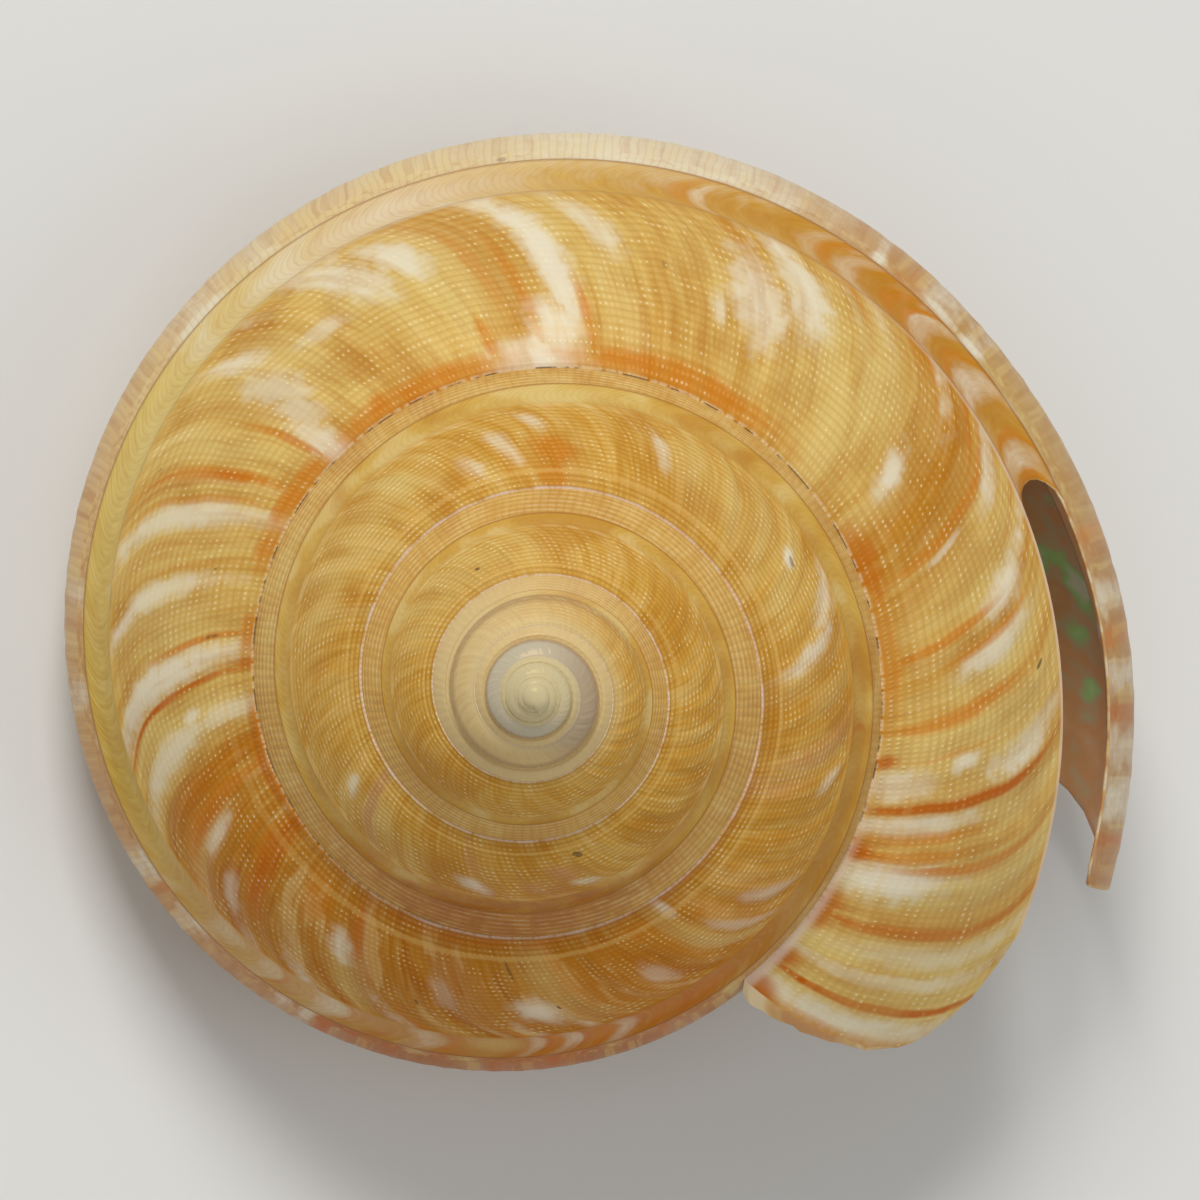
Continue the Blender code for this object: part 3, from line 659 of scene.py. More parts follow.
@dataclass
class SlitShell:
    """The whole shell as one closed mesh: whorls, base, hollow, slit and lip.

    On the flank of the body whorl, the growth threads lie about 0.5 mm apart and the spiral threads 0.6 mm.
    """

    outside: bpy.types.Material
    inside: bpy.types.Material
    edge: bpy.types.Material
    spiral: Spiral = Spiral()
    lines: GrowthLines = GrowthLines()
    sculpture: Sculpture = Sculpture()
    lip_turn: float = 0.904
    whorls: float = 6.9
    rows_per_whorl: int = 256
    slit_rows: int = 40
    fine_rows: int = 48
    coarse_step: int = 4
    cavity_whorls: float = 1.3
    wall: float = 1.35 * MM
    lip_wall: float = 0.50 * MM
    slit_wall: float = 0.20 * MM
    slit_thinning: tuple[float, float] = (0.22, 0.7)
    callus: float = 0.4 * MM
    callus_station: float = 3.9
    pillar: float = 0.075
    pillar_tip: float = 0.15
    tip_steps: int = 7
    inner_corner: float = 0.15
    columella_steps: int = 8
    septum_steps: int = 5
    cap_steps: int = 8
    cap_height: float = 0.4
    cap_station: float = 0.5
    edge_steps: int = 4
    edge_bulge: float = 0.35
    threads_per_whorl: float = 377.0
    threads_turn: float = 0.4
    flank_threads: float = 25.0
    flank_threads_growth: float = 0.45
    band_threads: float = 8.0
    strip_threads: float = 6.0
    basal_threads: float = 60.0
    lean: float = 19.1
    lean_towards: float = -144.1
    apex_at: Vector = field(default_factory=lambda: Vector((-16.36, -12.50, 51.42)) * MM)
    merge_distance: float = 0.0004 * MM
    sharp_angle: float = 50.0

    def __post_init__(self) -> None:
        """Lays out the rows and columns of the surface."""
        self.rows = round(self.whorls * self.rows_per_whorl)
        self.lag_rows = round(self.rows_per_whorl * self.lines.flank / WHOLE)
        self.mouth_row = self.rows - self.rows_per_whorl + self.lag_rows
        self.slit_row = self.rows - self.slit_rows
        beside_suture = [0.0, 0.008, 0.016, 0.023, 0.031, 0.042]
        self.upper_stations = np.concatenate([beside_suture, np.linspace(0.065, 0.96, 20), [0.98, BAND_TOP]])
        self.band_stations = (BAND_TOP + BAND_FOOT - np.cos(math.pi * np.arange(9) / 8)) / 2.0
        self.strip_stations = np.array([BAND_FOOT, 2.08, 2.2, 2.45, 2.7, 2.9, NEXT_SUTURE])
        beyond = np.concatenate([np.linspace(0.0, 0.12, 7), np.linspace(0.15, 1.0, 25)])
        self.under_stations = NEXT_SUTURE + beyond
        parts = (self.upper_stations, self.band_stations, self.strip_stations, self.under_stations)
        self.stations = np.concatenate([part[:-1] for part in parts] + [[COLUMELLA]])
        self.back_stations = self.stations[self.stations > NEXT_SUTURE][::-1]
        self.top_column = len(self.upper_stations) - 1
        self.foot_column = self.top_column + len(self.band_stations) - 1

    def row_turn(self, row: np.ndarray) -> np.ndarray:
        """The turn at which a row of the surface leaves the suture."""
        return self.lip_turn - (self.rows - row) / self.rows_per_whorl

    def near_lip(self, row: np.ndarray) -> np.ndarray:
        """0 behind the slit's end, and rising to 1 at the lip."""
        return np.maximum(0.0, 1.0 - (self.rows - row) / self.slit_rows)

    def turn_at(self, row: np.ndarray, station: np.ndarray) -> np.ndarray:
        """The turn of each place: rows follow the growth lines, and the last one follows the lip.

        Args:
            row: The row of each place.
            station: The station of each place.

        Returns:
            The turn of each.
        """
        grown = self.lines.grown(station, self.lines.lunule)
        lag = mix(grown, self.lines.lip(station), self.near_lip(row))
        return self.row_turn(row) - lag / WHOLE

    def maps(self, turn: np.ndarray, station: np.ndarray) -> tuple[np.ndarray, np.ndarray]:
        """The two maps that the finishes read.

        Args:
            turn: The turn of each place.
            station: The station of each place.

        Returns:
            The growth map, which holds each place's growth line and station, and the threads map, which
            counts the growth threads and the spiral threads up to it.
        """
        lag = self.lines.grown(station, self.lines.crescent) + self.lines.under(station)
        line = turn + lag / WHOLE
        rate = self.spiral.growth
        crossings = self.threads_per_whorl / rate * np.exp(rate * (line - self.threads_turn))
        finer = np.exp(self.flank_threads_growth * np.minimum(0.0, line))
        cords = self.flank_threads * finer * np.minimum(station, BAND_TOP)
        for start, threads in (
            (BAND_TOP, self.band_threads),
            (BAND_FOOT, self.strip_threads),
            (NEXT_SUTURE, self.basal_threads),
        ):
            cords = cords + threads * np.clip(station - start, 0.0, 1.0)
        return np.stack([line, station], axis=-1), np.stack([crossings, cords], axis=-1)

    def skin(self, name: str, points: np.ndarray, turn: np.ndarray, station: np.ndarray,
             material: bpy.types.Material) -> Skin:
        """A sheet with its maps.

        Args:
            name: The sheet's name.
            points: The x, y and z of each place.
            turn: The turn of each place.
            station: The station of each place.
            material: The sheet's finish.

        Returns:
            The sheet, not yet built.
        """
        growth, threads = self.maps(turn, station)
        return Skin(name, points, growth, threads, material)

    def outer(self, row: np.ndarray, station: np.ndarray) -> tuple[np.ndarray, np.ndarray]:
        """Points on the outside of the shell, and their turns.

        Args:
            row: The row of each point.
            station: The station of each point.

        Returns:
            The points and the turns, over the grid that the arguments span.
        """
        row, station = np.broadcast_arrays(np.asarray(row, float), np.asarray(station, float))
        turn = self.turn_at(row, station)
        line = self.maps(turn, station)[0][..., 0]
        raised = self.sculpture.height(line, station, self.spiral.size(turn))
        place = self.spiral.profile(turn, station) + raised * self.spiral.outward(turn, station)
        return at_angle(place, turn), turn

    def whorl_skins(self) -> list[Skin]:
        """The outside: the whorls' upper faces, the band up to the slit, the strip below it, and the base.

        Returns:
            A sheet for each.
        """
        layout = (
            ("upper", 0, self.rows, self.upper_stations),
            ("band", 0, self.slit_row, self.band_stations),
            ("strip", 0, self.rows, self.strip_stations),
            ("base", self.mouth_row, self.rows, self.under_stations),
        )
        skins = []
        for name, first, last, stations in layout:
            row, station = np.meshgrid(np.arange(first, last + 1), stations, indexing="ij")
            points, turn = self.outer(row, station)
            skins.append(self.skin(name, points, turn, station, self.outside))
        return skins

    def cap(self) -> Skin:
        """The low dome over the first whorl.

        Returns:
            The dome as a sheet.
        """
        first = self.rows_per_whorl - self.lag_rows
        stations = self.stations[self.stations <= NEXT_SUTURE]
        row = np.concatenate([np.arange(first), np.zeros(len(stations))])
        station = np.concatenate([np.zeros(first), stations[::-1]])
        loop, turn = self.outer(row, station)
        centre = loop.mean(axis=0)
        rise = np.linspace(0.0, math.pi / 2, self.cap_steps + 1)[:, None]
        flat = mix(centre[:2], loop[None, :, :2], np.cos(rise)[..., None])
        height = mix(loop[None, :, 2], self.cap_height * centre[2], np.sin(rise))
        points = np.concatenate([flat, height[..., None]], axis=-1)
        turn = np.broadcast_to(turn, height.shape)
        return self.skin("cap", points, turn, np.full(height.shape, self.cap_station), self.outside)

    def hollow_ring(self, row: np.ndarray) -> tuple[np.ndarray, np.ndarray, np.ndarray]:
        """The ring of points round the hollow at each row: own wall, columella and the whorl before.

        Args:
            row: The rows, as a column.

        Returns:
            The points, turns and stations, with the ring's columns along the second axis.
        """
        own = self.stations[:-1][None, :]
        wall = mix(self.wall, self.lip_wall, self.near_lip(row))
        flank_side, strip_side = self.slit_thinning
        beside = smoothstep(BAND_TOP - flank_side, BAND_TOP, own)
        beside = beside * smoothstep(BAND_FOOT + strip_side, BAND_FOOT, own)
        beside = beside * smoothstep(self.slit_row - self.slit_rows / 2, self.slit_row, row)
        thinned = mix(wall, self.slit_wall, beside)
        placed = np.where(own < BAND_TOP, mix(self.inner_corner, BAND_TOP, own), own) + 0.0 * row
        turn = self.turn_at(row, placed)
        ring = self.spiral.profile(turn, placed) - thinned * self.spiral.outward(turn, placed)
        foot_turn = self.turn_at(row, COLUMELLA)
        foot = self.spiral.profile(foot_turn, COLUMELLA) + self.pillar * self.spiral.size(foot_turn)
        foot = foot + 1j * wall
        before = self.row_turn(row) - 1.0
        back = self.back_stations[None, :] + 0.0 * row
        thickened = self.callus * self.spiral.outward(before + 0.0 * back, back)
        parietal = self.spiral.profile(before, back) + thickened
        head = parietal[:, :1] + self.pillar * self.spiral.size(before)
        parietal[:, :1] = head
        share = (np.arange(self.columella_steps) + 1.0)[None, :] / (self.columella_steps + 1)
        points = np.concatenate([ring, foot, mix(foot, head, share), parietal], axis=1)
        turns = [turn, foot_turn, mix(foot_turn, before + 1.0, share), before + 1.0 + 0.0 * back]
        stations = [placed, COLUMELLA + 0.0 * row, COLUMELLA + 0.0 * row * share, back]
        turns = np.concatenate(turns, axis=1)
        return at_angle(points, turns), turns, np.concatenate(stations, axis=1)

    def hollow(self) -> list[Skin]:
        """The hollow whorls behind the mouth, closed at the back as by a septum.

        Returns:
            The hollow's walls and the septum.
        """
        first = self.rows - round(self.cavity_whorls * self.rows_per_whorl)
        fine = self.rows - self.fine_rows
        rows = np.concatenate([np.arange(first, fine, self.coarse_step), np.arange(fine, self.rows + 1)])
        points, turn, station = self.hollow_ring(rows[:, None].astype(float))
        self.ring = points[rows >= self.slit_row]
        around = np.arange(points.shape[1] + 1) % points.shape[1]
        everywhere = rows >= first
        behind_slit = rows <= self.slit_row
        skins = []
        for name, kept, columns in (
            ("hollow_top", everywhere, around[: self.top_column + 1]),
            ("hollow_band", behind_slit, around[self.top_column : self.foot_column + 1]),
            ("hollow_base", everywhere, around[self.foot_column :]),
        ):
            parts = [values[kept][:, columns] for values in (points, turn, station)]
            skins.append(self.skin(name, *parts, self.inside))
        ring = points[0][around]
        inward = np.linspace(0.0, 1.0, self.septum_steps + 1)[:, None, None]
        septum = mix(ring[None], ring.mean(axis=0), inward)
        flat = np.broadcast_to(turn[0][around], septum.shape[:2])
        skins.append(self.skin("septum", septum, flat, np.full(flat.shape, self.callus_station), self.inside))
        return skins

    def rounded(self, name: str, outer: np.ndarray, inner: np.ndarray, towards: np.ndarray,
                turn: np.ndarray, station: np.ndarray) -> Skin:
        """A wall's free edge, rounded from the outside of the shell to the inside.

        Args:
            name: The sheet's name.
            outer: The edge's points on the outside.
            inner: As many points on the inside.
            towards: The unit direction in which the edge bulges at each point.
            turn: The turn of each point.
            station: The station of each point.

        Returns:
            The edge as a sheet.
        """
        share = np.linspace(0.0, 1.0, self.edge_steps + 1)[:, None, None]
        thickness = np.linalg.norm(inner - outer, axis=-1)[..., None]
        points = mix(outer, inner, share) + towards * thickness * self.edge_bulge * np.sin(math.pi * share)
        turn, station = (np.broadcast_to(values, points.shape[:2]) for values in (turn, station))
        return self.skin(name, points, turn, station, self.edge)

    @staticmethod
    def unit(vectors: np.ndarray) -> np.ndarray:
        """The vectors at length 1."""
        return vectors / np.linalg.norm(vectors, axis=-1)[..., None]

    @staticmethod
    def growing(turn: np.ndarray) -> np.ndarray:
        """The direction in which the shell grows at each turn."""
        angle = math.tau * turn
        return np.stack([-np.cos(angle), np.sin(angle), np.zeros_like(angle)], axis=-1)

    def edges(self) -> list[Skin]:
        """The slit's rounded edges and end, the lip's rim, and the columella's closed tip.

        Returns:
            A sheet for each.
        """
        rows = np.arange(self.slit_row, self.rows + 1)
        top, top_turn = self.outer(rows, BAND_TOP)
        foot, foot_turn = self.outer(rows, BAND_FOOT)
        down = self.unit(foot - top)
        skins = []
        for name, line, turn, column, side, station in (
            ("slit_top", top, top_turn, self.top_column, down, BAND_TOP),
            ("slit_foot", foot, foot_turn, self.foot_column, -down, BAND_FOOT),
        ):
            towards = side.copy()
            towards[-1] = self.unit(side[-1] + self.growing(turn[-1]))
            station = np.full(len(rows), station)
            skins.append(self.rounded(name, line, self.ring[:, column], towards, turn, station))
        end, end_turn = self.outer(self.slit_row, self.band_stations)
        across = (2.0 * self.band_stations - BAND_TOP - BAND_FOOT)[:, None]
        towards = -across * down[0] + np.sqrt(1.0 - across**2) * self.growing(end_turn)
        inner = self.ring[0, self.top_column : self.foot_column + 1]
        skins.append(self.rounded("slit_end", end, inner, towards, end_turn, self.band_stations))
        return skins + self.rim(down[-1]) + [self.tip()]

    def columella(self) -> tuple[np.ndarray, np.ndarray]:
        """The front of the columella between the basal lip and the whorl before.

        Returns:
            Its points and their turns.
        """
        share = (np.arange(self.columella_steps) + 1.0) / (self.columella_steps + 1)
        start, end = self.turn_at(self.rows, COLUMELLA), self.row_turn(self.rows)
        place = mix(self.spiral.profile(start, COLUMELLA), self.spiral.profile(end - 1.0, COLUMELLA), share)
        turn = mix(start, end, share)
        return at_angle(place, turn), turn

    def rim(self, down: np.ndarray) -> list[Skin]:
        """The lip's rim, from the suture to the slit and from the slit round to the suture again.

        Args:
            down: The unit direction from the band's top to its foot at the lip.

        Returns:
            The rim's two parts.
        """
        lip, lip_turn = self.outer(self.rows, self.stations)
        front, front_turn = self.columella()
        back, back_turn = self.outer(self.mouth_row, self.back_stations)
        line = np.concatenate([lip, front, back, lip[:1]])
        inner = np.concatenate([self.ring[-1], self.ring[-1][:1]])
        turn = np.concatenate([lip_turn, front_turn, back_turn + 1.0, lip_turn[:1]])
        front_stations = np.full(len(front), COLUMELLA)
        station = np.concatenate([self.stations, front_stations, self.back_stations, [SUTURE]])
        towards = self.growing(turn)
        for column, side in ((self.top_column, down), (self.foot_column, -down)):
            towards[column] = self.unit(towards[column] + side)
        skins = []
        for name, kept in (
            ("lip_top", slice(None, self.top_column + 1)),
            ("lip_base", slice(self.foot_column, None)),
        ):
            parts = (line[kept], inner[kept], towards[kept], turn[kept], station[kept])
            skins.append(self.rounded(name, *parts))
        return skins

    def tip(self) -> Skin:
        """The shallow dimple at the foot of the columella.

        Returns:
            The dimple as a sheet.
        """
        rows = np.arange(self.mouth_row, self.rows + 1)
        edge, edge_turn = self.outer(rows, COLUMELLA)
        front, front_turn = self.columella()
        loop = np.concatenate([edge, front, edge[:1]])
        turn = np.concatenate([edge_turn, front_turn, edge_turn[:1]])
        deep = np.array([0.0, 0.0, mix(edge[-1, 2], edge[0, 2], self.pillar_tip)])
        share = np.linspace(0.0, 1.0, self.tip_steps + 1)[:, None, None]
        points = mix(loop[None], deep, share)
        shape = points.shape[:2]
        return self.skin("tip", points, np.broadcast_to(turn, shape), np.full(shape, COLUMELLA), self.inside)

    def rest_pose(self) -> Matrix:
        """Leans the axis and lifts the apex to its height above the table."""
        axis = Matrix.Rotation(math.radians(self.lean_towards), 4, "Z") @ Vector((0, 1, 0))
        return Matrix.Translation(self.apex_at) @ Matrix.Rotation(math.radians(self.lean), 4, axis)

    def build(self) -> bpy.types.Object:
        """Builds the sheets, joins them into one closed mesh, lays it down and wears its feet flat.

        Returns:
            The shell.
        """
        skins = self.whorl_skins() + [self.cap()] + self.hollow() + self.edges()
        sheets = [skin.build() for skin in skins]
        bpy.ops.object.select_all(action="DESELECT")
        for sheet in sheets:
            sheet.select_set(True)
        shell = sheets[0]
        bpy.context.view_layer.objects.active = shell
        bpy.ops.object.join()
        shell.name = shell.data.name = "slit_shell"
        shell.matrix_world = self.rest_pose()
        bpy.ops.object.transform_apply(location=True, rotation=True, scale=True)
        bpy.ops.object.mode_set(mode="EDIT")
        bpy.ops.mesh.select_mode(type="VERT")
        bpy.ops.mesh.select_all(action="SELECT")
        bpy.ops.mesh.remove_doubles(threshold=self.merge_distance)
        bpy.ops.mesh.dissolve_degenerate(threshold=self.merge_distance)
        bpy.ops.mesh.select_all(action="SELECT")
        table = {"plane_co": (0, 0, 0), "plane_no": (0, 0, 1)}
        bpy.ops.mesh.bisect(**table, use_fill=True, clear_inner=True, threshold=self.merge_distance)
        bpy.ops.mesh.select_all(action="SELECT")
        bpy.ops.mesh.normals_make_consistent(inside=False)
        bpy.ops.object.mode_set(mode="OBJECT")
        bpy.ops.object.shade_smooth_by_angle(angle=math.radians(self.sharp_angle))
        return shell


def colour(code: str) -> tuple[float, float, float, float]:
    """An sRGB hex code as a linear colour.

    Args:
        code: The code, with its # mark.

    Returns:
        Red, green, blue and an alpha of 1.
    """
    channels = [int(code[place : place + 2], 16) / 255 for place in (1, 3, 5)]
    linear = [c / 12.92 if c <= 0.04045 else ((c + 0.055) / 1.055) ** 2.4 for c in channels]
    return (*linear, 1.0)


def add_node(tree: bpy.types.NodeTree, kind: str, *values: object, **named: object) -> bpy.types.Node:
    """Adds a node with its settings, values and links.

    Args:
        tree: The node tree.
        kind: The node's type, without the word ShaderNode.
        values: A value, socket or node for each input in order; a node stands for its first output.
        named: Inputs by name where the name has a capital, with _ for a space, and else the node's own
            settings. The setting stops holds the places and sRGB codes of a colour ramp.

    Returns:
        The node.
    """
    node = tree.nodes.new("ShaderNode" + kind)
    inputs = dict(enumerate(values))
    for name, value in named.items():
        if name[0].isupper():
            inputs[name.replace("_", " ")] = value
        elif name == "stops":
            for position, code in value[:-2]:
                node.color_ramp.elements.new(position)
            for element, (position, code) in zip(node.color_ramp.elements, value):
                element.position = position
                element.color = colour(code)
        else:
            setattr(node, name, value)
    for key, value in inputs.items():
        if isinstance(value, bpy.types.Node):
            value = value.outputs[0]
        if isinstance(value, bpy.types.NodeSocket):
            tree.links.new(value, node.inputs[key])
        else:
            node.inputs[key].default_value = value
    return node


class Coats:
    """A finish in the making: its node tree, the shell's growth map and the coats of colour so far."""

    def __init__(self, name: str) -> None:
        """Starts a material and reads the maps that the shell's finishes use.

        Args:
            name: The material's name.
        """
        self.material = bpy.data.materials.new(name)
        self.material.use_nodes = True
        self.tree = self.material.node_tree
        self.place = self.add("TexCoord").outputs["Object"]
        self.growth = self.add("UVMap", uv_map="growth").outputs[0]
        split = self.add("SeparateXYZ", self.growth)
        self.line, self.station = split.outputs["X"], split.outputs["Y"]
        self.tint = None

    def add(self, kind: str, *values: object, **named: object) -> bpy.types.Node:
        """Adds a node to this finish's tree."""
        return add_node(self.tree, kind, *values, **named)

    def product(self, *factors: object) -> object:
        """The product of several values.

        Args:
            factors: Values, sockets or nodes.

        Returns:
            The last node of the product, or the one factor.
        """
        product = factors[0]
        for factor in factors[1:]:
            product = self.add("Math", product, factor, operation="MULTIPLY")
        return product

    def within(self, start: float, end: float, soft: float) -> bpy.types.Node:
        """A zone of the whorl's profile.

        Args:
            start: The station where it starts.
            end: The station where it ends.
            soft: How wide its borders are.

        Returns:
            A node that gives 1 in the zone and 0 outside.
        """
        rising = self.add("MapRange", self.station, start - soft, start, **SMOOTH)
        falling = self.add("MapRange", self.station, end + soft, end, **SMOOTH)
        return self.product(rising, falling)

    def lay(self, tint: object, *shares: object) -> None:
        """Lays a coat of a colour over those before it.

        Args:
            tint: An sRGB code, or a node that gives a colour.
            shares: Values whose product says how much it covers; without them it is the first coat.
        """
        laid = colour(tint) if isinstance(tint, str) else tint
        self.tint = self.add("MixRGB", self.product(*shares), self.tint, laid) if shares else laid

    def set_surface(self, **values: object) -> bpy.types.Material:
        """Sets what the surface is like.

        Args:
            values: Values and nodes by the input's name, with _ for a space.

        Returns:
            The finished material.
        """
        surface = self.tree.nodes["Principled BSDF"]
        for name, value in values.items():
            put = surface.inputs[name.replace("_", " ")]
            if isinstance(value, bpy.types.Node):
                self.tree.links.new(value.outputs[0], put)
            else:
                put.default_value = value
        return self.material


@dataclass(frozen=True)
class PrismaticLayer:
    """The outside: a thin skin of calcite prisms, laid down thread by thread by the mantle's edge.

    It is satin and a little translucent. Beads stand where the spiral threads cross the growth threads; their
    pale tops and small glints are painted highlights, and the darker gaps between them are painted shade.
    Pigment follows the growth lines, the band keeps the old ends of the slit as crescents, and the oldest
    whorls are worn to the nacre.

    Streaks and hairs are counted along a whorl and across its profile. On the flank of the body whorl they
    are about 3.5 mm and 0.6 mm wide. A zone has its two stations and the width of its borders.
    """

    ground: tuple[tuple[float, str], ...] = (
        (0.34, "#BC822B"), (0.45, "#C8953B"), (0.54, "#D1A652"), (0.66, "#DBBA72"),
    )
    band: tuple[tuple[float, str], ...] = (
        (0.36, "#BB9742"), (0.46, "#C7A851"), (0.56, "#CFB565"), (0.68, "#DBCB98"),
    )
    strip: tuple[tuple[float, str], ...] = (
        (0.34, "#C28A50"), (0.46, "#CC9D64"), (0.56, "#D3AD7A"), (0.68, "#DDC29B"),
    )
    base: tuple[tuple[float, str], ...] = (
        (0.36, "#CB8434"), (0.46, "#D9AE6E"), (0.55, "#E6CE9E"), (0.66, "#EEE2C6"),
    )
    # Colours along the body whorl. The dark stops at its start, on the side turned from the key light, are
    # partly pigment and partly painted shade.
    flank_along: tuple[tuple[float, str], ...] = (
        (0.00, "#AE6006"), (0.19, "#B06204"), (0.26, "#CB9E46"), (0.40, "#DAB868"), (0.53, "#D0AE60"),
        (0.69, "#BE862C"), (0.74, "#CFA04A"), (0.88, "#D2AC64"),
    )
    band_along: tuple[tuple[float, str], ...] = (
        (0.00, "#B4600A"), (0.10, "#BE8038"), (0.19, "#D2A868"), (0.27, "#C8A440"), (0.42, "#D8BE74"),
        (0.51, "#E2CCA8"), (0.57, "#CFA448"), (0.68, "#B87A0C"),
    )
    strip_along: tuple[tuple[float, str], ...] = (
        (0.00, "#9A4204"), (0.12, "#9A440C"), (0.19, "#C8945E"), (0.30, "#CA9A5A"), (0.44, "#DCC498"),
        (0.58, "#E0D2B0"), (0.68, "#AE7E38"), (0.78, "#AE8450"),
    )
    grain_mm: float = 1.2
    sway_mm: float = 4.5
    sway: tuple[float, float, float] = (0.0026, 0.06, 0.0)
    thread_sways: tuple[float, float] = (1.6, 0.5)
    streaks: tuple[float, float, float] = (52.0, 1.1, 0.0)
    hairs: tuple[float, float, float] = (300.0, 2.5, 0.0)
    bead_height_mm: float = 0.036
    glint_tint: str = "#F0C684"
    recent: tuple[float, float] = (-0.14, -0.02)
    older: tuple[float, float] = (0.0, -0.1)
    flank_zone: tuple[float, float, float] = (0.0, 0.99, 0.01)
    band_zone: tuple[float, float, float] = (1.0, 1.985, 0.015)
    strip_zone: tuple[float, float, float] = (2.0, 3.15, 0.05)
    old_strip_zone: tuple[float, float, float] = (2.04, 3.0, 0.04)

    def material(self) -> bpy.types.Material:
        """The finish as a material.

        Returns:
            The material.
        """
        coats = Coats("pigmented_prismatic_shell")
        add = coats.add
        grain = add("TexNoise", Vector=coats.place, Scale=1.0 / (self.grain_mm * MM), Detail=2.0)
        sway = add("TexNoise", Vector=coats.place, Scale=1.0 / (self.sway_mm * MM), Detail=1.0)
        grain, sway = (add("Math", noise, 0.5, operation="SUBTRACT") for noise in (grain, sway))
        bent = add("VectorMath", sway, self.sway, coats.growth, operation="MULTIPLY_ADD")
        drawn = add("VectorMath", bent, self.streaks, operation="MULTIPLY")
        streak = add("TexNoise", Vector=drawn, Scale=1.0, Detail=3.0, Roughness=0.6, noise_dimensions="2D")
        combed = add("VectorMath", bent, self.hairs, operation="MULTIPLY")
        hair = add("TexNoise", Vector=combed, Scale=1.0, Detail=1.0, noise_dimensions="2D")
        crossing, spiral = self.threads(coats, sway)
        on_base = add("MapRange", coats.station, 3.10, 3.30, **SMOOTH)
        recent = add("MapRange", coats.line, *self.recent, **SMOOTH)
        on_band = coats.within(*self.band_zone)
        on_strip = coats.within(*self.strip_zone)
        coats.lay(add("ValToRGB", streak, stops=self.ground))
        coats.lay(add("ValToRGB", streak, stops=self.base), on_base)
        coats.lay(add("ValToRGB", streak, stops=self.band), on_band, recent)
        coats.lay(add("ValToRGB", streak, stops=self.strip), on_strip, recent)
        on_flank = coats.within(*self.flank_zone)
        banded = add("ValToRGB", coats.line, stops=self.band_along)
        coats.lay(add("ValToRGB", coats.line, stops=self.flank_along), on_flank, recent, 0.45)
        coats.lay(banded, on_band, recent, 0.65)
        coats.lay(add("ValToRGB", coats.line, stops=self.strip_along), on_strip, recent, 0.70)
        self.lay_age(coats, hair, sway, on_band)
        self.lay_flames(coats, bent, grain, streak, (Pigment.AMBER,))
        early = add("MapRange", coats.line, 0.30, 0.18, 0.25, 1.0)
        streaked = coats.product(on_flank, recent, early)
        for code, thin, full, share in (("#A85A08", 0.45, 0.35, 0.50), ("#E4C480", 0.56, 0.66, 0.35)):
            marked = add("MapRange", streak, thin, full, 0.0, share, **SMOOTH)
            coats.lay(code, marked, streaked)
        laid = self.lay_flames(coats, bent, grain, streak, tuple(Pigment)[1:])
        coats.lay(banded, on_band, recent, 0.38)
        clear = add("MapRange", laid[Pigment.WHITE], 0.0, 0.6, 1.0, 0.12)
        pebbled = coats.product(clear, add("MapRange", coats.line, 0.79, 0.87, 1.0, 0.5))
        beaded = self.lay_beads(coats, crossing, spiral, (grain, sway), pebbled, on_base)
        self.lay_belts(coats, crossing, on_band, on_strip)
        self.lay_wear(coats, hair, streak)
        crossed = add("Math", crossing, 0.6, 0.4, operation="MULTIPLY_ADD")
        coarse = add("MapRange", coats.station, 0.24, 0.05, 0.8, 1.5)
        covered = add("Math", pebbled, 0.6, 0.4, operation="MULTIPLY_ADD")
        beads = coats.product(spiral, crossed, beaded, coarse, covered)
        belts = coats.product(crossing, coats.within(1.02, 3.2, 0.05), 0.30)
        raised = add("Math", beads, belts, operation="ADD")
        rough = add("Math", grain, 1.0, raised, operation="MULTIPLY_ADD")
        bump = add("Bump", Strength=1.0, Distance=self.bead_height_mm * MM, Height=rough)
        worn = add("MapRange", coats.line, -2.7, -3.0, 0.38, 0.24, **SMOOTH)
        gloss = add("Math", grain, 0.2, worn, operation="MULTIPLY_ADD")
        return coats.set_surface(
            Base_Color=coats.tint, Roughness=gloss, Normal=bump, IOR=1.57, Metallic=0.0,
            Specular_IOR_Level=0.2, Specular_Tint=colour(self.glint_tint),
        )

    def threads(self, coats: Coats, sway: bpy.types.Node) -> list[bpy.types.Node]:
        """The two sets of fine threads.

        Args:
            coats: The finish.
            sway: The slow noise that makes the threads waver.

        Returns:
            The waves of the growth threads and of the spiral threads, each from 0 to 1.
        """
        counts = coats.add("SeparateXYZ", coats.add("UVMap", uv_map="threads"))
        waves = []
        for count, slack in zip(counts.outputs[:2], self.thread_sways):
            shifted = coats.add("Math", sway, slack, count, operation="MULTIPLY_ADD")
            angle = coats.add("Math", shifted, math.tau, operation="MULTIPLY")
            swing = coats.add("Math", angle, operation="COSINE")
            waves.append(coats.add("Math", swing, 0.5, 0.5, operation="MULTIPLY_ADD"))
        return waves

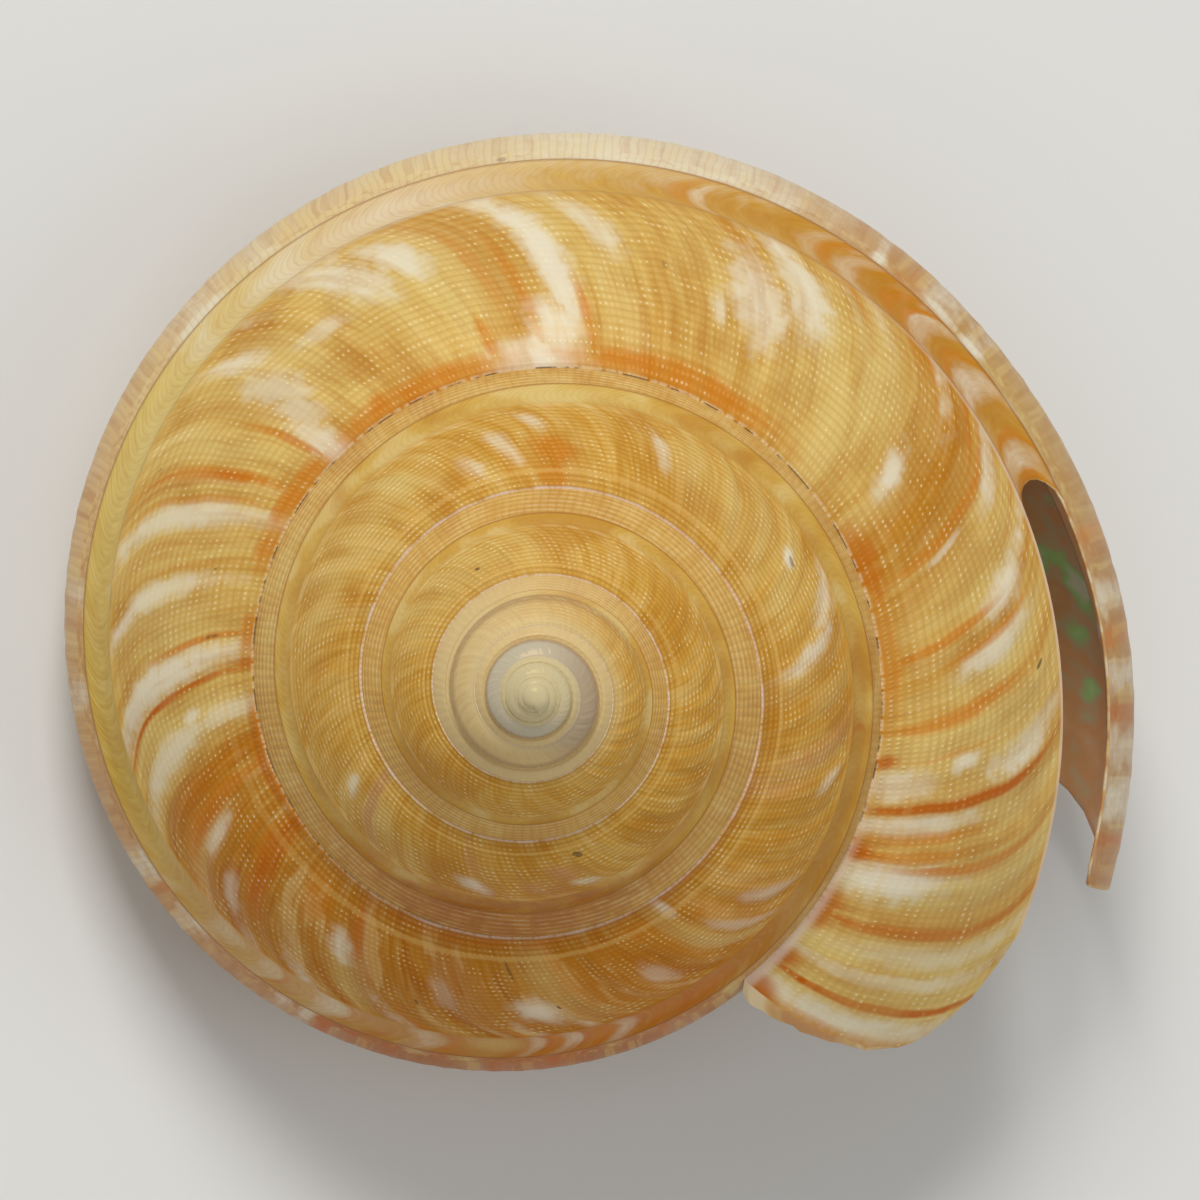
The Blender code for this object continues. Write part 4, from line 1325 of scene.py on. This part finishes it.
    def lay_flames(self, coats: Coats, bent: bpy.types.Node, grain: bpy.types.Node, streak: bpy.types.Node,
                   pigments: tuple[Pigment, ...]) -> dict[Pigment, bpy.types.Node]:
        """The flames, one pigment over the other, streaky and with edges that the grain breaks up.

        Args:
            coats: The finish.
            bent: The growth map, with lines that sway a little.
            grain: The surface's grain.
            streak: The streaks along the growth lines.
            pigments: The pigments to lay.

        Returns:
            How much each pigment covers.
        """
        thinned = coats.add("MapRange", streak, 0.38, 0.56, 0.65, 1.08)
        laid = {}
        for pigment in pigments:
            name = pigment.name.lower()
            size = coats.add("Attribute", attribute_name=f"{name}_size").outputs["Vector"]
            offset = coats.add("Attribute", attribute_name=f"{name}_offset").outputs["Vector"]
            strength = coats.add("SeparateXYZ", size).outputs["Z"]
            placed = coats.add("VectorMath", bent, size, offset, operation="MULTIPLY_ADD")
            away = coats.add("VectorMath", placed, operation="LENGTH").outputs["Value"]
            frayed = coats.add("Math", grain, pigment.fray, away, operation="MULTIPLY_ADD")
            far, near = 1.0 + pigment.softness / 2.0, 1.0 - pigment.softness / 2.0
            share = coats.add("MapRange", frayed, far, near, 0.0, pigment.cover, **SMOOTH)
            laid[pigment] = coats.product(share, strength, thinned)
            coats.lay(pigment.code, laid[pigment])
        return laid

    def lay_age(self, coats: Coats, hair: bpy.types.Node, sway: bpy.types.Node,
                on_band: bpy.types.Node) -> None:
        """The fine growth lines, and the even gold into which the colours of the older whorls have faded.

        Args:
            coats: The finish.
            hair: The finest lines along the growth lines.
            sway: The slow noise, which clouds the gold.
            on_band: 1 on the band.
        """
        pale = coats.add("MapRange", hair, 0.53, 0.70, 0.0, 0.30, **SMOOTH)
        coats.lay("#E4C97C", pale)
        dark = coats.add("MapRange", hair, 0.47, 0.30, 0.0, 0.32, **SMOOTH)
        coats.lay("#AC6A1A", dark)
        fades = (
            ("#C6943A", 0.0, -0.15, 0.45, 1.0),
            ("#CDA850", 0.0, -0.15, 0.55, on_band),
            ("#C6943A", -0.9, -1.6, 0.40, 1.0),
        )
        for code, start, end, share, where in fades:
            coats.lay(code, coats.add("MapRange", coats.line, start, end, 0.0, share), where)
        older = coats.add("MapRange", coats.line, *self.older)
        clouded = coats.add("Math", coats.within(0.0, 0.95, 0.05), older, operation="MAXIMUM")
        cloud = coats.add("MapRange", sway, 0.0, 0.16, 0.0, 0.40, **SMOOTH)
        coats.lay("#AF6E12", cloud, clouded)
        clear = coats.add("MapRange", sway, -0.02, -0.14, 0.0, 0.55, **SMOOTH)
        coats.lay("#DCC482", clear, on_band, older)
        coats.lay("#DDB872", coats.within(*self.old_strip_zone), older, 0.34)

    def lay_beads(self, coats: Coats, crossing: bpy.types.Node, spiral: bpy.types.Node,
                  noises: tuple[bpy.types.Node, bpy.types.Node], pebbled: bpy.types.Node,
                  on_base: bpy.types.Node) -> bpy.types.Node:
        """Painted shade between beads and threads, and painted highlights on them: pale tops and glints.

        Args:
            coats: The finish.
            crossing: The wave of the growth threads.
            spiral: The wave of the spiral threads.
            noises: The surface's grain and its sway.
            pebbled: 1 where the beads show, and less in the pale flames, which hide them.
            on_base: 1 on the base.

        Returns:
            1 where there are beads, and 0 on the band, the newer strip and the worn whorls.
        """
        flank = coats.add("MapRange", coats.station, 1.0, 0.96, **SMOOTH)
        older = coats.add("MapRange", coats.line, *self.older, **SMOOTH)
        ends = coats.add("Math", flank, on_base, operation="MAXIMUM")
        threaded = coats.add("Math", coats.product(older, coats.within(2.06, 3.0, 0.04)), ends)
        beaded = coats.product(threaded, coats.add("MapRange", coats.line, -2.9, -2.4))
        grain, sway = noises
        solid = coats.add("MapRange", sway, -0.12, 0.10, 0.55, 0.0)
        joined = coats.add("MapRange", crossing, 0.0, 1.0, solid, 1.0)
        lattice = coats.product(spiral, joined)
        # Painted shade: the gaps between the beads are darkened as in the shade of a recess.
        gap_shade = coats.add("MapRange", lattice, 0.35, 0.0, 0.0, 0.18, **SMOOTH)
        coats.lay("#A0640E", gap_shade, beaded, pebbled)
        # Painted highlights: the bead tops are paler, more in some patches than in others.
        highlight_variation = coats.add("MapRange", grain, -0.12, 0.12, 0.1, 1.5)
        bead = coats.add("MapRange", lattice, 0.40, 0.95, 0.0, 0.13, **SMOOTH)
        coats.lay("#F0D284", bead, beaded, ends, pebbled, highlight_variation)
        # Painted highlights along the crests of the spiral threads on the older strips.
        bright = coats.add("MapRange", spiral, 0.55, 1.0, 0.0, 0.15, **SMOOTH)
        coats.lay("#F6E6BC", bright, older, coats.within(*self.old_strip_zone), highlight_variation)
        # Painted shade in the grooves between the spiral threads: on the older whorls, and near the suture up
        # to the start of the body whorl.
        cords = coats.add("MapRange", spiral, 0.5, 0.0, 0.0, 0.14, **SMOOTH)
        coats.lay("#96601A", cords, older, coats.add("MapRange", flank, 0.0, 1.0, 0.45, 1.0))
        early = coats.add("MapRange", coats.line, 0.20, 0.08, 0.0, 1.8)
        near = coats.add("MapRange", coats.line, -0.40, -0.15, 0.4, 1.0)
        coats.lay("#8A4A0C", cords, coats.within(0.02, 0.13, 0.03), early, near)
        # Painted glints on the bead tops, in patches.
        lit = coats.add("MapRange", grain, 0.02, 0.14, **SMOOTH)
        glint = coats.add("MapRange", lattice, 0.60, 1.0, 0.0, 0.42, **SMOOTH)
        coats.lay("#F8EBC4", glint, lit, beaded, ends)
        return beaded

    def lay_belts(self, coats: Coats, crossing: bpy.types.Node, on_band: bpy.types.Node,
                  on_strip: bpy.types.Node) -> None:
        """The growth lines on the band and the strip, darkened in their grooves as painted shade, the lines
        that part them, and the cord by the suture.

        Args:
            coats: The finish.
            crossing: The wave of the growth threads.
            on_band: 1 on the band.
            on_strip: 1 on the strip.
        """
        # Painted shade in the grooves between the growth threads of the band and the strip.
        groove = coats.add("MapRange", crossing, 0.35, 0.0, 0.0, 0.15, **SMOOTH)
        grown = coats.product(on_strip, coats.add("MapRange", coats.line, 0.74, 0.62, 0.25, 1.0))
        coats.lay("#B07C46", groove, coats.add("Math", on_band, grown, operation="MAXIMUM"))
        for code, station, width, share in (("#AE7430", 1.03, 0.05, 0.40), ("#945C24", 2.0, 0.06, 0.55)):
            coats.lay(code, coats.within(station - 0.2 * width, station + 0.2 * width, width), share)
        cord = coats.add("MapRange", coats.line, 0.22, 0.08, 0.15, 0.40)
        coats.lay("#DDB468", coats.within(0.166, 0.184, 0.018), cord)
        torn = coats.add("MapRange", coats.line, 0.64, 0.74, 0.0, 0.60)
        coats.lay("#E2CCB6", coats.within(0.992, 1.0, 0.008), torn)

    def lay_wear(self, coats: Coats, hair: bpy.types.Node, streak: bpy.types.Node) -> None:
        """The oldest whorls, worn to the nacre, with the young shell's cream tip, and the suture's line.

        The young whorls' sunk band is darkened as painted shade, the older bands carry a painted highlight
        along their top, and the body whorl's suture has dark dashes that are partly cracks, partly painted
        shade in its crease.

        Args:
            coats: The finish.
            hair: The finest lines along the growth lines.
            streak: The streaks along the growth lines.
        """
        above = coats.within(0.0, 0.80, 0.20)
        fades = (
            ("#CDB880", -1.9, -2.3, 0.55, coats.within(0.0, 0.05, 0.45)), ("#D6C292", -2.2, -2.6, 0.62, 1.0),
            ("#A4907A", -2.95, -3.15, 0.85, above), ("#C0B69C", -3.25, -3.50, 0.80, above),
            ("#C8B88C", -4.0, -4.25, 0.90, 1.0),
        )
        for code, start, end, share, where in fades:
            faded = coats.add("MapRange", coats.line, start, end, 0.0, share, **SMOOTH)
            coats.lay(code, faded, where)
        old = coats.add("MapRange", coats.line, -2.0, -2.6, **SMOOTH)
        young = coats.add("MapRange", coats.line, -4.5, -4.1, **SMOOTH)
        # Painted shade in the sunk band of the young whorls, which lies in a groove.
        coats.lay("#80583A", coats.within(0.98, 1.30, 0.30), old, young, 0.50)
        edge = coats.add("MapRange", coats.line, -0.3, -0.5, 0.0, 0.50)
        worn = coats.add("MapRange", streak, 0.38, 0.60, 0.15, 1.0)
        coats.lay("#E4D0B8", coats.within(0.0, 0.012, 0.020), edge, worn)
        # A painted highlight along the top of the band on the older whorls.
        coats.lay("#E6D4A2", coats.within(0.96, 0.99, 0.02), edge, worn, 0.35)
        stitched = coats.add("MapRange", hair, 0.36, 0.54, 0.0, 0.60, **SMOOTH)
        coats.lay("#DCC096", coats.within(0.0, 0.006, 0.010), stitched)
        fresh = coats.add("MapRange", coats.line, 0.14, 0.06, 0.0, 0.65)
        coats.lay("#DCC4B8", coats.within(0.0, 0.010, 0.012), fresh, worn)
        # Dark dashes along the body whorl's suture: partly cracks, partly painted shade in its crease.
        cracks_and_crease_shade = coats.add("MapRange", streak, 0.46, 0.57, 0.0, 0.80, **SMOOTH)
        recent = coats.add("MapRange", coats.line, -0.1, 0.25, **SMOOTH)
        ended = coats.add("MapRange", coats.line, 0.86, 0.80)
        coats.lay("#4A3420", coats.within(0.0, 0.003, 0.005), cracks_and_crease_shade, recent, ended)
        joint = coats.add("MapRange", coats.line, 0.80, 0.88, 0.0, 0.70)
        coats.lay("#DEC6B4", coats.within(0.0, 0.012, 0.035), joint)


@dataclass(frozen=True)
class Nacre:
    """The inside: mother of pearl, thin sheets of aragonite polished by the animal's mantle.

    It is smooth and glossy. Its warm, brownish shades are painted for the warm light and shade in the hollow,
    and its clouds of green and pink, where its sheets are of one thickness, are painted iridescent sheen.
    Near the columella it is whiter and thicker, as callus. Its streaks are about 3.6 mm wide.
    """

    # Brownish peach shades are painted warm light and shade of the hollow; the green ones are painted
    # iridescent sheen.
    shades: tuple[tuple[float, str], ...] = (
        (0.33, "#EAF0D0"), (0.385, "#BCE890"), (0.43, "#E2C498"), (0.50, "#F0B078"), (0.58, "#F4BC88"),
        (0.65, "#ECDCC8"),
    )
    cloud_mm: float = 3.6
    streaks: tuple[float, float, float] = (50.0, 1.6, 0.0)
    ripple_mm: float = 0.04
    film_nm: float = 420.0

    def material(self) -> bpy.types.Material:
        """The finish as a material.

        Returns:
            The material.
        """
        coats = Coats("mother_of_pearl")
        cloud = coats.add("TexNoise", Vector=coats.place, Scale=1.0 / (self.cloud_mm * MM), Detail=2.0)
        drawn = coats.add("VectorMath", coats.growth, self.streaks, operation="MULTIPLY")
        streak = coats.add("TexNoise", Vector=drawn, Scale=1.0, Detail=2.0, noise_dimensions="2D")
        both = coats.add("Math", cloud, streak, operation="ADD")
        coats.lay(coats.add("ValToRGB", coats.product(both, 0.5), stops=self.shades))
        callus = coats.add("MapRange", coats.station, 3.55, 3.9, 0.0, 0.75, **SMOOTH)
        coats.lay("#E9E3D6", callus)
        bump = coats.add("Bump", Strength=0.6, Distance=self.ripple_mm * MM, Height=streak)
        return coats.set_surface(
            Base_Color=coats.tint, Normal=bump, Metallic=0.0, Roughness=0.28, IOR=1.63,
            Thin_Film_Thickness=self.film_nm, Thin_Film_IOR=1.38,
        )


@dataclass(frozen=True)
class FreshEdge:
    """The rim of the lip and of the slit: the newest shell, thin, dull and pale gold, with little pigment.

    Its streaks are about 1.1 mm wide.
    """

    shades: tuple[tuple[float, str], ...] = ((0.38, "#C48C50"), (0.50, "#D2A868"), (0.62, "#DEC498"))
    streaks: tuple[float, float, float] = (160.0, 5.0, 0.0)
    grain_mm: float = 0.3
    grain_height_mm: float = 0.05

    def material(self) -> bpy.types.Material:
        """The finish as a material.

        Returns:
            The material.
        """
        coats = Coats("fresh_growing_edge")
        drawn = coats.add("VectorMath", coats.growth, self.streaks, operation="MULTIPLY")
        streak = coats.add("TexNoise", Vector=drawn, Scale=1.0, Detail=2.0, noise_dimensions="2D")
        coats.lay(coats.add("ValToRGB", streak, stops=self.shades))
        grain = coats.add("TexNoise", Vector=coats.place, Scale=1.0 / (self.grain_mm * MM), Detail=1.0)
        bump = coats.add("Bump", Strength=0.8, Distance=self.grain_height_mm * MM, Height=grain)
        return coats.set_surface(Base_Color=coats.tint, Normal=bump, Roughness=0.48, IOR=1.57, Metallic=0.0)


@dataclass
class Studio:
    """The floor, the lights and the camera at the photograph's viewing angle.

    Each light has its name, its place, the length of its side and its power in watts.
    """

    floor_side: float = 3.0
    floor_tint: str = "#D9D8D4"
    floor_roughness: float = 0.85
    distance: float = 0.898
    tilt: float = 2.79
    offset: tuple[float, float] = (4.69 * MM, 6.99 * MM)
    focal: float = 378.0
    sensor: float = 36.0
    clip: tuple[float, float] = (0.01, 20.0)
    lights: tuple[tuple[str, tuple[float, float, float], float, float], ...] = (
        ("key", (-0.25, 0.75, 0.95), 0.5, 10.0),
        ("fill", (0.8, -0.35, 0.8), 0.9, 3.0),
        ("top", (-0.5, -0.5, 1.1), 0.8, 2.2),
    )
    aim: Vector = field(default_factory=lambda: Vector((0.0, 0.0, 0.02)))
    sky_tint: str = "#E6E8EA"
    sky_strength: float = 0.38

    def camera(self, rest_pose: Matrix) -> bpy.types.Object:
        """A long lens that looks down the coiling axis, tilted a little.

        Args:
            rest_pose: From the shell's own frame to the scene's.

        Returns:
            The camera.
        """
        tilt = math.radians(self.tilt)
        back = Vector((0.0, math.sin(tilt), math.cos(tilt)))
        up = Vector((0.0, math.cos(tilt), -math.sin(tilt)))
        right = up.cross(back)
        place = back * self.distance + right * self.offset[0] + up * self.offset[1]
        turned = Matrix((right, up, back)).transposed().to_4x4()
        bpy.ops.object.camera_add()
        camera = bpy.context.object
        camera.name = "camera"
        camera.matrix_world = rest_pose @ Matrix.Translation(place) @ turned
        camera.data.lens = self.focal
        camera.data.sensor_width = self.sensor
        camera.data.clip_start, camera.data.clip_end = self.clip
        bpy.context.scene.camera = camera
        return camera

    def floor(self) -> bpy.types.Object:
        """A plain pale floor.

        Returns:
            The floor.
        """
        bpy.ops.object.select_all(action="DESELECT")
        bpy.ops.mesh.primitive_plane_add(size=self.floor_side)
        floor = bpy.context.object
        floor.name = "floor"
        material = bpy.data.materials.new("matt_paper")
        material.use_nodes = True
        surface = material.node_tree.nodes["Principled BSDF"]
        surface.inputs["Base Color"].default_value = colour(self.floor_tint)
        surface.inputs["Roughness"].default_value = self.floor_roughness
        floor.data.materials.append(material)
        return floor

    def light(self, name: str, place: tuple[float, float, float], size: float, power: float) -> None:
        """A square soft light that looks at the shell.

        Args:
            name: The light's name.
            place: Where it hangs.
            size: The length of its side.
            power: Its power in watts.
        """
        bpy.ops.object.light_add(type="AREA", location=place)
        light = bpy.context.object
        light.name = name
        light.data.size = size
        light.data.energy = power
        light.rotation_euler = (self.aim - Vector(place)).to_track_quat("-Z", "Y").to_euler()

    def build(self, rest_pose: Matrix) -> None:
        """Sets the stage.

        Args:
            rest_pose: From the shell's own frame to the scene's.
        """
        self.floor()
        for light in self.lights:
            self.light(*light)
        world = bpy.data.worlds.new("studio")
        world.use_nodes = True
        sky = world.node_tree.nodes["Background"]
        sky.inputs["Color"].default_value = colour(self.sky_tint)
        sky.inputs["Strength"].default_value = self.sky_strength
        bpy.context.scene.world = world
        bpy.context.scene.view_settings.view_transform = "Standard"
        self.camera(rest_pose)


# The main program


def main() -> None:
    """Builds the shell and the studio."""
    logging.basicConfig(level=logging.INFO, format="%(message)s")
    shell = SlitShell(PrismaticLayer().material(), Nacre().material(), FreshEdge().material())
    piece = shell.build()
    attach(piece, "root")
    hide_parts("shell")
    logger.info("%s: %d faces", piece.name, len(piece.data.polygons))
    Studio().build(shell.rest_pose())
    logger.info("studio: floor, lights and camera")


if __name__ == "__main__":
    main()
